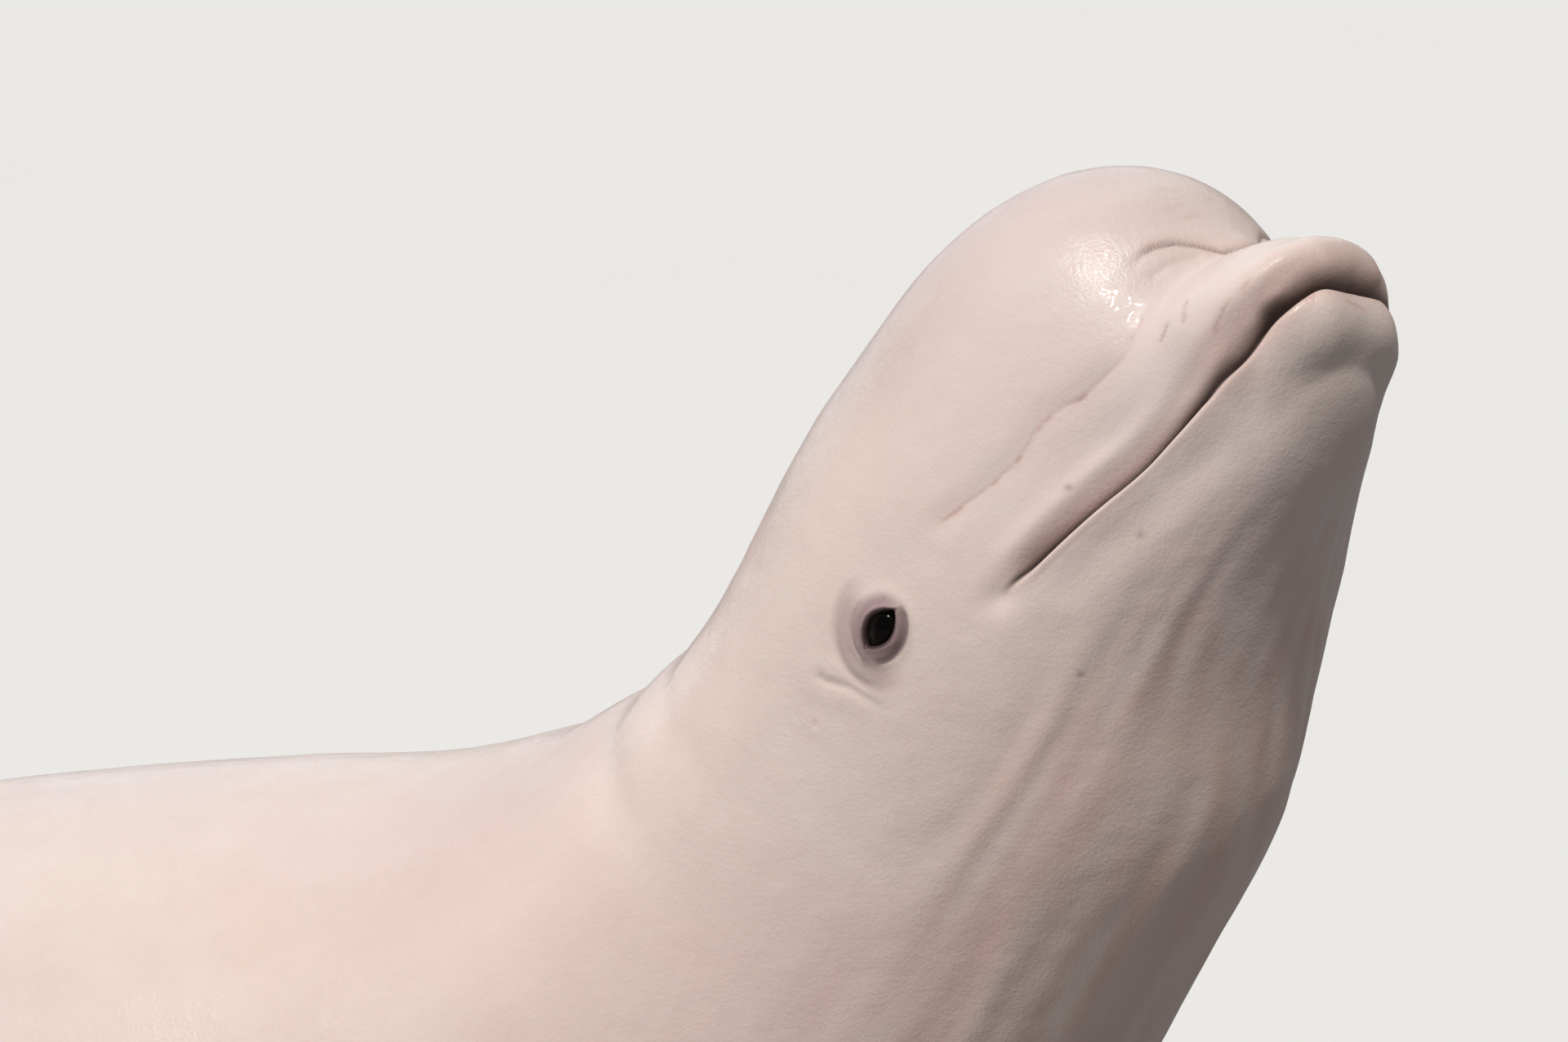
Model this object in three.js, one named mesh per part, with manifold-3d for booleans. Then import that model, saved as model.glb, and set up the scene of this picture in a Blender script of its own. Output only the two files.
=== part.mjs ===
// A beluga whale, life size, on a display stand: it holds its head up and turned to its right,
// with the body level behind it. Millimetres, +Z up, +X towards the head.
//
// The body is first worked out straight: x runs forward along it with the beak's tip at 0, y to its
// left, z to its back. A smooth field, below zero inside, gives the head and the body's tube, and rays
// sent out from an inner axis find its surface. The straight body is parted with thin flat cuts, and
// each piece is then laid along the bent spine.

import * as THREE from 'three';
import { mergeVertices } from 'three/addons/utils/BufferGeometryUtils.js';
import Module from 'manifold-3d';

// Driving dimensions

const GAP = 0.3; // between touching pieces
const BODY_END = 3760; // the tail's end inside the flukes, behind the beak's tip

// Half-sizes of the body's tube at stations behind the beak's tip.
const STATION = [0, 180, 300, 420, 540, 700, 900, 1200, 1700, 2300, 2900, 3300, 3600, BODY_END];
const HALF_UP = [40, 110, 118, 135, 153, 195, 262, 320, 345, 300, 200, 138, 84, 40];
const HALF_DOWN = [40, 110, 210, 237, 255, 280, 318, 345, 365, 315, 205, 140, 84, 40];
const HALF_WIDTH = [40, 110, 160, 182, 195, 235, 290, 340, 365, 305, 180, 98, 44, 22];
const NOSE_TAPER = 90; // the tube closes over this length behind the beak's tip

// The head's rounded masses: centre and half-sizes.
const MELON = { centre: [-168, 0, 62], half: [123, 128, 93] };
const BROW = { centre: [-286, 0, 23], half: [208, 158, 146] };
const THROAT = { centre: [-303, 0, -58], half: [190, 150, 105] };
const BEAK = { centre: [-118, 0, -27], half: [114, 101, 52] };
const JAW = { centre: [-130, 0, -64], half: [125, 77, 60] };
const BLEND_BODY = 60;
const BLEND_MELON = 50;
const BLEND_JAW = 40;
const BLEND_LIPS = 16;
const BLEND_MOUTH = 14;

// The rolls of the lips, from the front: x, y, z and radius. The upper one runs to the mouth's corner.
const UPPER_LIP = [
  [-24, 0, -43, 25],
  [-36, 31, -43, 25],
  [-68, 48, -45, 25],
  [-115, 64, -50, 24],
  [-176, 86, -56, 20],
  [-232, 108, -65, 13],
];
const LOWER_LIP = [
  [-27, 0, -79, 17],
  [-38, 26, -80, 16],
];

// The mouth's line in side view: what it and the skin near it gain in height.
const MOUTH_STATION = [0, 80, 160, 238, 330, 450];
const MOUTH_LIFT = [0, -6, -5, 7, 4.5, 0];
const MOUTH_LEVEL = -74;
const MOUTH_REACH = 70;

const AXIS_HEIGHT = -78; // of the inner axis in the head, at the level of the mouth
const TIP_HEIGHT = -62; // of the mouth's line at the beak's tip
const FAN_STATION = 290; // ahead of it the rays swing forward
const MOUTH_END = 238; // station of the mouth's corners
const NECK_START = 385;
const LAST_RING = BODY_END + 20;
const PAST_ENDS = 100; // how far the outer cuts clear the body's ends

// The bend of the spine in degrees: pitch up, turn to the right, roll.
const HEAD_POSE = { pitch: 55, turn: 30, roll: -13 };
const BODY_POSE = { pitch: 18, turn: 5 };
const TAIL_POSE = { pitch: 0, turn: 2 };
const BEND_START = 400;
const BEND_END = { pitch: 1150, turn: 1200, roll: 1300 };
const TAIL_BEND = [1200, 3600];
const BALANCE_STATION = 1690; // lies over the origin
const BALANCE_HEIGHT = 750; // of the spine there over the floor
const SPINE_STEP = 10;
const SPINE_LENGTH = 4000;

// Lengths of the body, behind the beak's tip.
const CHEST_START = 690;
const BELLY_START = 1680;
const STOCK_START = 2760;

const EYE = { x: -311, z: -30, radius: 17, depth: 11, lidRing: 17, lidTube: 5, lidSquash: 0.8 };
const BLOWHOLE = { x: -352, width: 62, sweep: 16, slot: 5, depth: 9 };
const RIDGE = { start: 1790, end: 2420, height: 24, halfWidth: 26, root: 16 };

const FLIPPER = {
  station: 770, // the body's place that carries it
  root: [0, 150, -150],
  span: 460,
  chord: 175,
  broad: 92, // what the blade gains in breadth
  droop: 38,
  sweep: 28,
  pitch: -12,
};
const FLUKE = { halfSpan: 480, chord: 300, middle: -3700, sweep: 150, bulge: 48, notch: 0.11 };

const STAND = {
  base: [1900, 760, 30],
  baseCorner: 60,
  rodRadius: 38,
  collarRadius: 75,
  collarHeight: 22,
  padRadius: 95,
  padHeight: 46,
  stations: { stand_rod_front: 1230, stand_rod_rear: 2150 },
};

// Rings and steps of the surfaces.
const FAN_RINGS = 22;
const BODY_RINGS = 38;
const BODY_AROUND = 56;
const FIN_RINGS = 12;
const FIN_AROUND = 18;

const SKIN = { color: 0xddcdc4, roughness: 0.4, metalness: 0 };
const EYE_DARK = { color: 0x14100f, roughness: 0.1, metalness: 0 };
const BASE_GREY = { color: 0x3c3f43, roughness: 0.6, metalness: 0.1 };
const ROD_STEEL = { color: 0x9a9da1, roughness: 0.35, metalness: 0.9 };

const radians = THREE.MathUtils.degToRad;
const clamp = THREE.MathUtils.clamp;
const smooth = (low, high, x) => THREE.MathUtils.smoothstep(x, low, high);

// Shape functions

/** Natural cubic curve through the knots. */
function spline(xs, ys) {
  const n = xs.length;
  const diagonal = new Array(n).fill(1);
  const upper = new Array(n).fill(0);
  const second = new Array(n).fill(0);
  for (let i = 1; i < n - 1; i++) {
    const before = xs[i] - xs[i - 1];
    const after = xs[i + 1] - xs[i];
    const pull = 6 * ((ys[i + 1] - ys[i]) / after - (ys[i] - ys[i - 1]) / before);
    diagonal[i] = 2 * (before + after) - before * upper[i - 1];
    upper[i] = after / diagonal[i];
    second[i] = (pull - before * second[i - 1]) / diagonal[i];
  }
  second[n - 1] = 0;
  for (let i = n - 2; i > 0; i--) second[i] -= upper[i] * second[i + 1];
  return (x) => {
    let i = 0;
    while (i < n - 2 && x > xs[i + 1]) i++;
    const h = xs[i + 1] - xs[i];
    const t = x - xs[i];
    const u = xs[i + 1] - x;
    const bow = (second[i] * u ** 3 + second[i + 1] * t ** 3) / (6 * h);
    return bow + (ys[i] / h - (second[i] * h) / 6) * u + (ys[i + 1] / h - (second[i + 1] * h) / 6) * t;
  };
}

/** The lower of two fields, rounded where they meet. */
function blend(a, b, width) {
  const h = clamp(0.5 + (0.5 * (b - a)) / width, 0, 1);
  return b * (1 - h) + a * h - width * h * (1 - h);
}

function ellipsoid(p, { centre, half }) {
  const q = [0, 1, 2].map((i) => (p[i] - centre[i]) / half[i]);
  const near = Math.hypot(...q);
  const slope = Math.hypot(q[0] / half[0], q[1] / half[1], q[2] / half[2]) + 1e-9;
  return (near * (near - 1)) / slope;
}

/** A rod with round ends from a to b, each given as x, y, z and radius. */
function capsule(p, a, b) {
  const along = [0, 1, 2].map((i) => b[i] - a[i]);
  const from = [0, 1, 2].map((i) => p[i] - a[i]);
  const length2 = along[0] ** 2 + along[1] ** 2 + along[2] ** 2;
  const t = clamp((from[0] * along[0] + from[1] * along[1] + from[2] * along[2]) / length2, 0, 1);
  const off = [0, 1, 2].map((i) => from[i] - t * along[i]);
  return Math.hypot(...off) - (a[3] + (b[3] - a[3]) * t);
}

const halfUp = spline(STATION, HALF_UP);
const halfDown = spline(STATION, HALF_DOWN);
const halfWidth = spline(STATION, HALF_WIDTH);

function tube([x, y, z]) {
  const s = clamp(-x, 0, BODY_END);
  const rho = Math.hypot(y, z) + 1e-9;
  const half = z > 0 ? halfUp(s) : halfDown(s);
  const oval = 1 / Math.hypot(y / rho / halfWidth(s), z / rho / half);
  const closing = Math.max(0, NOSE_TAPER + x) + Math.max(0, -x - BODY_END);
  return (rho - oval + closing) * 0.9;
}

/** A chain of capsules joined to a first field. */
function roll(p, first, chain) {
  let d = first;
  for (let i = 1; i < chain.length; i++) d = blend(d, capsule(p, chain[i - 1], chain[i]), BLEND_LIPS);
  return d;
}

/** The whole body without its fins: below zero inside. */
function bodyField([x, y, z]) {
  const p = [x, Math.abs(y), z];
  let d = blend(tube(p), ellipsoid(p, BROW), BLEND_BODY);
  d = blend(d, ellipsoid(p, THROAT), BLEND_BODY);
  d = blend(d, ellipsoid(p, MELON), BLEND_MELON);
  d = blend(d, roll(p, ellipsoid(p, JAW), LOWER_LIP), BLEND_JAW);
  return blend(d, roll(p, ellipsoid(p, BEAK), UPPER_LIP), BLEND_MOUTH);
}

const axisHeight = (s) => AXIS_HEIGHT * (1 - smooth(330, 1500, s));
const FAN_TILT = Math.atan2(TIP_HEIGHT - axisHeight(FAN_STATION), FAN_STATION);

/** The surface point met by a ray from the axis at station s, swung forward, going round by angle. */
function shoot(s, swing, around) {
  const ahead = Math.sin(swing);
  const square = Math.cos(swing);
  const direction = new THREE.Vector3(
    ahead * Math.cos(FAN_TILT) - Math.sin(around) * square * Math.sin(FAN_TILT),
    Math.cos(around) * square,
    ahead * Math.sin(FAN_TILT) + Math.sin(around) * square * Math.cos(FAN_TILT),
  ).normalize();
  const at = (t) => [-s + t * direction.x, t * direction.y, axisHeight(s) + t * direction.z];
  let t = 20;
  for (let i = 0; i < 44; i++) t = clamp(t - bodyField(at(t)) * 0.8, 1, 700);
  return at(t);
}

/** Steps round the body, closer at the level of the mouth and the eyes on both sides. */
function aroundAngles(count) {
  return Array.from({ length: count }, (_, k) => {
    const even = (k / count) * 2 * Math.PI;
    return even - 0.24 * Math.sin(2 * even) + 0.05 * (1 - Math.cos(2 * even));
  });
}

// Spine

function poseAt(s) {
  const body = {
    pitch: smooth(BEND_START, BEND_END.pitch, s),
    turn: smooth(BEND_START, BEND_END.turn, s),
    roll: smooth(BEND_START, BEND_END.roll, s),
  };
  const tail = smooth(...TAIL_BEND, s);
  const mix = (head, middle, end, k) => head + (middle - head) * k + (end - middle) * tail;
  const pitch = mix(HEAD_POSE.pitch, BODY_POSE.pitch, TAIL_POSE.pitch, body.pitch);
  const turn = mix(HEAD_POSE.turn, BODY_POSE.turn, TAIL_POSE.turn, body.turn);
  const roll = HEAD_POSE.roll * (1 - body.roll);
  return new THREE.Matrix4()
    .makeRotationZ(-radians(turn))
    .multiply(new THREE.Matrix4().makeRotationY(-radians(pitch)))
    .multiply(new THREE.Matrix4().makeRotationX(radians(roll)));
}

/** Frames along the spine, each a matrix whose axes are forward, left and up. */
function makeSpine() {
  const frames = [];
  const centre = new THREE.Vector3();
  let last = null;
  for (let s = 0; s <= SPINE_LENGTH; s += SPINE_STEP) {
    const frame = poseAt(s);
    const forward = new THREE.Vector3().setFromMatrixColumn(frame, 0);
    if (last) centre.addScaledVector(forward.clone().add(last), -SPINE_STEP / 2);
    last = forward;
    frames.push(frame.setPosition(centre));
  }
  const rest = new THREE.Vector3().setFromMatrixPosition(frames[BALANCE_STATION / SPINE_STEP]);
  const move = new THREE.Matrix4().makeTranslation(-rest.x, -rest.y, BALANCE_HEIGHT - rest.z);
  return frames.map((frame) => frame.premultiply(move));
}
const SPINE = makeSpine();

const mouthLift = spline(MOUTH_STATION, MOUTH_LIFT);

/** Lays a point of the straight body along the bent spine, with the mouth's line curved. */
function bend([x, y, level]) {
  const near = Math.exp(-(((level - MOUTH_LEVEL) / MOUTH_REACH) ** 2));
  const z = level + mouthLift(clamp(-x, 0, MOUTH_STATION.at(-1))) * near;
  const f = clamp(-x / SPINE_STEP, 0, SPINE.length - 1.001);
  const i = Math.floor(f);
  const ahead = Math.max(0, x);
  const a = new THREE.Vector3(ahead, y, z).applyMatrix4(SPINE[i]);
  const b = new THREE.Vector3(ahead, y, z).applyMatrix4(SPINE[i + 1]);
  return a.lerp(b, f - i).toArray();
}

// Meshes

/** A closed geometry over rings of points, each end drawn together in one point. */
function skinOver(rings, first, last) {
  const around = rings[0].length;
  const points = [first, ...rings.flat(), last];
  const index = [];
  const id = (i, k) => 1 + i * around + (k % around);
  for (let k = 0; k < around; k++) index.push(0, id(0, k), id(0, k + 1));
  for (let i = 0; i < rings.length - 1; i++) {
    for (let k = 0; k < around; k++) {
      const [a, b, c, d] = [id(i, k), id(i, k + 1), id(i + 1, k + 1), id(i + 1, k)];
      // the diagonals mirror about the half-way line, so that two facing sides split alike
      if (k < around / 2) index.push(a, d, c, a, c, b);
      else index.push(a, d, b, b, d, c);
    }
  }
  const end = points.length - 1;
  for (let k = 0; k < around; k++) index.push(end, id(rings.length - 1, k + 1), id(rings.length - 1, k));
  const geometry = new THREE.BufferGeometry();
  geometry.setAttribute('position', new THREE.Float32BufferAttribute(points.flat(), 3));
  geometry.setIndex(index);
  return geometry;
}

const wasm = await Module();
wasm.setup();

function toSolid(geometry) {
  const bare = geometry.clone();
  bare.deleteAttribute('normal');
  bare.deleteAttribute('uv');
  const merged = mergeVertices(bare, 1e-3);
  const mesh = new wasm.Mesh({
    numProp: 3,
    vertProperties: Float32Array.from(merged.attributes.position.array),
    triVerts: Uint32Array.from(merged.index.array),
  });
  mesh.merge();
  return new wasm.Manifold(mesh);
}

/** A solid's largest closed body as a geometry, each point moved by place. */
function toGeometry(solid, place = (p) => p) {
  const bodies = solid.decompose().sort((a, b) => b.volume() - a.volume());
  const mesh = bodies[0].getMesh();
  const positions = [];
  for (let i = 0; i < mesh.vertProperties.length; i += mesh.numProp) {
    positions.push(...place(Array.from(mesh.vertProperties.slice(i, i + 3))));
  }
  const geometry = new THREE.BufferGeometry();
  geometry.setAttribute('position', new THREE.Float32BufferAttribute(positions, 3));
  geometry.setIndex(Array.from(mesh.triVerts));
  return geometry;
}

/** The same closed mesh with its surface moved out by a distance. */
function grown(geometry, distance) {
  const smoothMesh = geometry.clone();
  smoothMesh.computeVertexNormals();
  const { position, normal } = smoothMesh.attributes;
  for (let i = 0; i < position.count; i++) {
    position.setXYZ(
      i,
      position.getX(i) + normal.getX(i) * distance,
      position.getY(i) + normal.getY(i) * distance,
      position.getZ(i) + normal.getZ(i) * distance,
    );
  }
  return smoothMesh;
}

function boxBetween(low, high) {
  const size = high.map((h, i) => h - low[i]);
  const box = new THREE.BoxGeometry(...size);
  box.translate(...low.map((l, i) => l + size[i] / 2));
  return box;
}

// Body

function bodyGeometry() {
  const angles = aroundAngles(BODY_AROUND);
  const rings = [];
  for (let i = 1; i < FAN_RINGS; i++) {
    const swing = (1 - i / (FAN_RINGS - 1)) * (Math.PI / 2);
    rings.push(angles.map((angle) => shoot(FAN_STATION, swing, angle)));
  }
  for (let i = 1; i <= BODY_RINGS; i++) {
    const s = FAN_STATION + (LAST_RING - FAN_STATION) * (i / BODY_RINGS) ** 1.25;
    rings.push(angles.map((angle) => shoot(s, 0, angle)));
  }
  const tip = shoot(FAN_STATION, Math.PI / 2, 0);
  const end = [-LAST_RING - 10, 0, 0];
  return skinOver(rings, tip, end);
}

/** Between two stations of the straight body, less half the gap at each cut. */
function slab(from, to) {
  return toSolid(boxBetween([-to + GAP / 2, -600, -600], [-from - GAP / 2, 600, 600]));
}

/** The room of the lower jaw: under the mouth's line, back to the corners on a leaning plane. */
function jawRoom(shift) {
  const lean = 70;
  const mouthLevel = (x) => axisHeight(0) + ((x + FAN_STATION) * (TIP_HEIGHT - AXIS_HEIGHT)) / FAN_STATION;
  const outline = new THREE.Shape([
    new THREE.Vector2(40, mouthLevel(40) - shift),
    new THREE.Vector2(40, -300),
    new THREE.Vector2(-MOUTH_END - lean + shift, -300),
    new THREE.Vector2(-MOUTH_END + shift, mouthLevel(-MOUTH_END) - shift),
  ]);
  const room = new THREE.ExtrudeGeometry(outline, { depth: 600, bevelEnabled: false });
  room.rotateX(Math.PI / 2);
  room.translate(0, 300, 0);
  return toSolid(room);
}

/** The room of the melon: over a plane that rises from the fold above the beak to the blowhole. */
function melonRoom(shift) {
  const [front, foot] = [10, -4];
  const [back, top] = [-322, 58];
  const outline = new THREE.Shape([
    new THREE.Vector2(front, foot + shift),
    new THREE.Vector2(front, 400),
    new THREE.Vector2(back + shift, 400),
    new THREE.Vector2(back + shift, top + shift),
  ]);
  const room = new THREE.ExtrudeGeometry(outline, { depth: 600, bevelEnabled: false });
  room.rotateX(Math.PI / 2);
  room.translate(0, 300, 0);
  return toSolid(room);
}

/** Where the skin lies at the eye, and the direction out of it, in the straight body. */
function eyePlace(side) {
  const step = 1;
  let y = 60;
  while (bodyField([EYE.x, y, EYE.z]) < 0) y += step / 4;
  const slope = [0, 1, 2].map((i) => {
    const high = [EYE.x, y, EYE.z];
    const low = [EYE.x, y, EYE.z];
    high[i] += step;
    low[i] -= step;
    return bodyField(high) - bodyField(low);
  });
  const out = new THREE.Vector3(...slope).normalize();
  const skin = new THREE.Vector3(EYE.x, y, EYE.z);
  const mirror = new THREE.Vector3(1, side, 1);
  return { skin: skin.multiply(mirror), out: out.multiply(mirror) };
}

function eyeball(side, radius) {
  const { skin, out } = eyePlace(side);
  const ball = new THREE.SphereGeometry(radius, 16, 10);
  const centre = skin.clone().addScaledVector(out, -EYE.depth);
  ball.translate(centre.x, centre.y, centre.z);
  return ball;
}

/** The lids: a low oval ring round the eye, drawn out to a corner before and behind. */
function eyelids(side) {
  const { skin, out } = eyePlace(side);
  const ring = new THREE.TorusGeometry(EYE.lidRing, EYE.lidTube, 6, 20);
  ring.scale(1.12, 0.95, EYE.lidSquash);
  const forward = new THREE.Vector3(1, 0, 0).addScaledVector(out, -out.x).normalize();
  const up = new THREE.Vector3().crossVectors(out, forward);
  ring.applyMatrix4(new THREE.Matrix4().makeBasis(forward, up, out));
  ring.translate(skin.x - out.x, skin.y - out.y, skin.z - out.z);
  return ring;
}

/** Height of the body's top at a station on the mid-line. */
function topAt(s) {
  let z = 40;
  while (bodyField([-s, 0, z]) < 0) z += 0.5;
  return z;
}

/** The blowhole's slot: a crescent across the top of the head with its horns to the front. */
function blowholeSlot() {
  const steps = 10;
  const edge = (offset) =>
    Array.from({ length: steps + 1 }, (_, i) => {
      const t = (i / steps) * 2 - 1;
      const half = (BLOWHOLE.slot / 2) * (1 - t * t) + 0.6;
      const x = BLOWHOLE.x + BLOWHOLE.sweep * t * t + offset * half;
      return new THREE.Vector2(x, (t * BLOWHOLE.width) / 2);
    });
  const outline = new THREE.Shape([...edge(1), ...edge(-1).reverse()]);
  const slot = new THREE.ExtrudeGeometry(outline, { depth: 80, bevelEnabled: false });
  slot.translate(0, 0, topAt(-BLOWHOLE.x) - BLOWHOLE.depth);
  return toSolid(slot);
}

// Fins

/** A fin's outline rings from root to tip: place gives a point from the share of the span and angle. */
function finGeometry(place, flip) {
  const ringAt = (w) =>
    Array.from({ length: FIN_AROUND }, (_, k) => place(w, ((k + 0.5) / FIN_AROUND) * 2 * Math.PI));
  const share = (i) => 1 - (1 - i / FIN_RINGS) ** 1.5;
  const rings = Array.from({ length: FIN_RINGS }, (_, i) => ringAt(share(i)));
  const centreOf = (ring) => [0, 1, 2].map((i) => ring.reduce((sum, p) => sum + p[i], 0) / ring.length);
  const tip = place(1, Math.PI / 2);
  const order = (ring) => (flip ? ring.slice().reverse() : ring);
  return skinOver(rings.map(order), centreOf(rings[0]), tip);
}

/** Thick at the front of a fin's section and thin behind. */
const finSection = (angle) => Math.sin(angle) * (0.62 + 0.38 * Math.cos(angle));

function flipperPoint(w, angle) {
  const chord = (FLIPPER.chord + FLIPPER.broad * Math.sin(Math.PI * w ** 0.9) ** 1.2) * Math.sqrt(1 - w ** 5);
  const thick = 78 * (1 - w) ** 1.4 + 20 * (1 - w ** 6);
  const x = -30 - 95 * w ** 1.5 + (chord / 2) * Math.cos(angle);
  const lift = 40 * w ** 3 + 14 * w ** 2 * Math.cos(angle) ** 2; // the blade's edges and tip curl up
  return [x, FLIPPER.span * w, (thick / 2) * finSection(angle) + lift];
}

function flipper(side) {
  const [droop, sweep, pitch] = [FLIPPER.droop, FLIPPER.sweep, FLIPPER.pitch].map(radians);
  const span = new THREE.Vector3(
    -Math.sin(sweep),
    Math.cos(sweep) * Math.cos(droop),
    -Math.cos(sweep) * Math.sin(droop),
  );
  const level = new THREE.Vector3(
    Math.cos(sweep),
    Math.sin(sweep) * Math.cos(droop),
    -Math.sin(sweep) * Math.sin(droop),
  );
  const levelUp = new THREE.Vector3().crossVectors(level, span);
  const forward = level.clone().multiplyScalar(Math.cos(pitch)).addScaledVector(levelUp, Math.sin(pitch));
  const up = new THREE.Vector3().crossVectors(forward, span);
  const frame = new THREE.Matrix4().makeBasis(forward, span, up).setPosition(...FLIPPER.root);
  const mirror = new THREE.Matrix4().makeScale(1, side, 1);
  const whole = SPINE[FLIPPER.station / SPINE_STEP].clone().multiply(mirror).multiply(frame);
  const place = (w, angle) => new THREE.Vector3(...flipperPoint(w, angle)).applyMatrix4(whole).toArray();
  return finGeometry(place, side < 0);
}

function flukePoint(w, angle, side) {
  const chord = FLUKE.chord * (1 - 0.45 * w) * Math.sqrt(Math.max(0, 1 - w ** 4));
  const middle = FLUKE.middle - FLUKE.sweep * w ** 1.5;
  const lead = middle + chord / 2;
  const trail = middle - chord / 2 - FLUKE.bulge * (1 - Math.exp(-w / FLUKE.notch)) * (1 - w ** 2);
  const x = (lead + trail) / 2 + ((lead - trail) / 2) * Math.cos(angle);
  const thick = 70 * (1 - w) ** 1.6 + 15 * Math.sqrt(Math.max(0, 1 - w ** 6));
  return [x, side * (GAP / 2 + FLUKE.halfSpan * w), (thick / 2) * finSection(angle) + 30 * w ** 2];
}

function fluke(side) {
  return finGeometry((w, angle) => bend(flukePoint(w, angle, side)), side < 0);
}

/** The low ridge that a beluga has in place of a back fin. */
function dorsalRidge() {
  const rings = 16;
  const around = 10;
  const ringAt = (i) => {
    const t = (i + 0.5) / rings;
    const s = RIDGE.start + (RIDGE.end - RIDGE.start) * t;
    const swell = Math.sin(Math.PI * t) ** 0.6;
    const foot = topAt(s) - RIDGE.root;
    return Array.from({ length: around }, (_, k) => {
      const angle = (k / around) * 2 * Math.PI;
      const rise = Math.sin(angle) * (Math.sin(angle) > 0 ? RIDGE.height * swell + RIDGE.root : 8);
      return bend([-s, Math.cos(angle) * RIDGE.halfWidth * swell, foot + rise]);
    });
  };
  const end = (s) => bend([-s, 0, topAt(s) - RIDGE.root]);
  const all = Array.from({ length: rings }, (_, i) => ringAt(i));
  return skinOver(all, end(RIDGE.start), end(RIDGE.end));
}

// Stand

function standBase() {
  const [length, width, height] = STAND.base;
  const [x, y, r] = [length / 2, width / 2, STAND.baseCorner];
  const outline = new THREE.Shape();
  outline.absarc(x - r, y - r, r, 0, Math.PI / 2);
  outline.absarc(-x + r, y - r, r, Math.PI / 2, Math.PI);
  outline.absarc(-x + r, -y + r, r, Math.PI, 1.5 * Math.PI);
  outline.absarc(x - r, -y + r, r, 1.5 * Math.PI, 2 * Math.PI);
  return new THREE.ExtrudeGeometry(outline, { depth: height, bevelEnabled: false, curveSegments: 8 });
}

/** An upright rod with a collar on the base and a pad that takes the belly's shape. */
function standRod(station, whale) {
  const foot = STAND.base[2] + GAP;
  const under = bend([-station, 0, -halfDown(station)]);
  const top = under[2] + 40;
  const profile = [
    [0, foot],
    [STAND.collarRadius, foot],
    [STAND.collarRadius, foot + STAND.collarHeight],
    [STAND.rodRadius, foot + STAND.collarHeight],
    [STAND.rodRadius, under[2] - STAND.padHeight],
    [STAND.padRadius, under[2] - STAND.padHeight * 0.6],
    [STAND.padRadius, top],
    [0, top],
  ];
  const rod = new THREE.LatheGeometry(profile.map(([r, z]) => new THREE.Vector2(r, z)), 24);
  rod.rotateX(Math.PI / 2);
  rod.translate(under[0], under[1], 0);
  return toGeometry(toSolid(rod).subtract(whale));
}

// Assembly

const group = new THREE.Group();

function addPart(name, geometry, look) {
  const mesh = new THREE.Mesh(geometry, new THREE.MeshStandardMaterial(look));
  mesh.name = name;
  group.add(mesh);
}

const body = bodyGeometry();
const whole = toSolid(body);

let head = whole.intersect(slab(-PAST_ENDS, NECK_START));
for (const side of [1, -1]) {
  head = head.add(toSolid(eyelids(side)));
  head = head.subtract(toSolid(eyeball(side, EYE.radius + GAP)));
}
head = head.subtract(blowholeSlot());

addPart('lower_jaw', toGeometry(head.intersect(jawRoom(GAP / 2)), bend), SKIN);
addPart('melon', toGeometry(head.intersect(melonRoom(GAP / 2)), bend), SKIN);
addPart('head', toGeometry(head.subtract(jawRoom(-GAP / 2)).subtract(melonRoom(-GAP / 2)), bend), SKIN);

const LENGTHS = {
  neck: [NECK_START, CHEST_START],
  torso_front: [CHEST_START, BELLY_START],
  torso_rear: [BELLY_START, STOCK_START],
  tail_stock: [STOCK_START, BODY_END + PAST_ENDS],
};
for (const [name, [from, to]] of Object.entries(LENGTHS)) {
  addPart(name, toGeometry(whole.intersect(slab(from, to)), bend), SKIN);
}

const bentBody = toGeometry(whole, bend);
const clearance = toSolid(grown(bentBody, GAP + 0.05));
const fins = {
  flipper_left: flipper(1),
  flipper_right: flipper(-1),
  fluke_left: fluke(1),
  fluke_right: fluke(-1),
  dorsal_ridge: dorsalRidge(),
};
for (const [name, fin] of Object.entries(fins)) {
  addPart(name, toGeometry(toSolid(fin).subtract(clearance)), SKIN);
}

for (const [name, side] of [['eye_left', 1], ['eye_right', -1]]) {
  addPart(name, toGeometry(toSolid(eyeball(side, EYE.radius)), bend), EYE_DARK);
}

addPart('stand_base', standBase(), BASE_GREY);
for (const [name, station] of Object.entries(STAND.stations)) {
  addPart(name, standRod(station, clearance), ROD_STEEL);
}

export default group;
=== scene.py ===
"""A life-size beluga whale on a plain stand: one skin over its solids, two eyes and a finished stand."""
import math

import bmesh
import bpy
import numpy as np
from mathutils import Matrix, Vector
from mathutils.bvhtree import BVHTree


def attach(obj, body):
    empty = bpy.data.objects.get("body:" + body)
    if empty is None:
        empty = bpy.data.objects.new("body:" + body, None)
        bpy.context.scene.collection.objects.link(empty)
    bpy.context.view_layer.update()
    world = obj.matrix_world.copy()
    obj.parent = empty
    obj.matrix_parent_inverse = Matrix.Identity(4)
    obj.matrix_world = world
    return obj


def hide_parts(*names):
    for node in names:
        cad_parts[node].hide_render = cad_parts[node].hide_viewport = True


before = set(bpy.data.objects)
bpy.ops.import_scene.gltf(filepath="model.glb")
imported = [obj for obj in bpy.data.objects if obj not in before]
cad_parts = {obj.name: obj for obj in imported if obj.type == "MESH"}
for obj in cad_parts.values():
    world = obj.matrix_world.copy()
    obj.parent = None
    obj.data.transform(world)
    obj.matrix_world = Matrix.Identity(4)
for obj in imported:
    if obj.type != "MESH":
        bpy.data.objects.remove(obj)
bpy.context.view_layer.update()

MM = 0.001

# The whale is described lying straight, in millimetres: x forward from the beak's tip, y to its left,
# z up. A station is the distance behind the tip.

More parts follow.
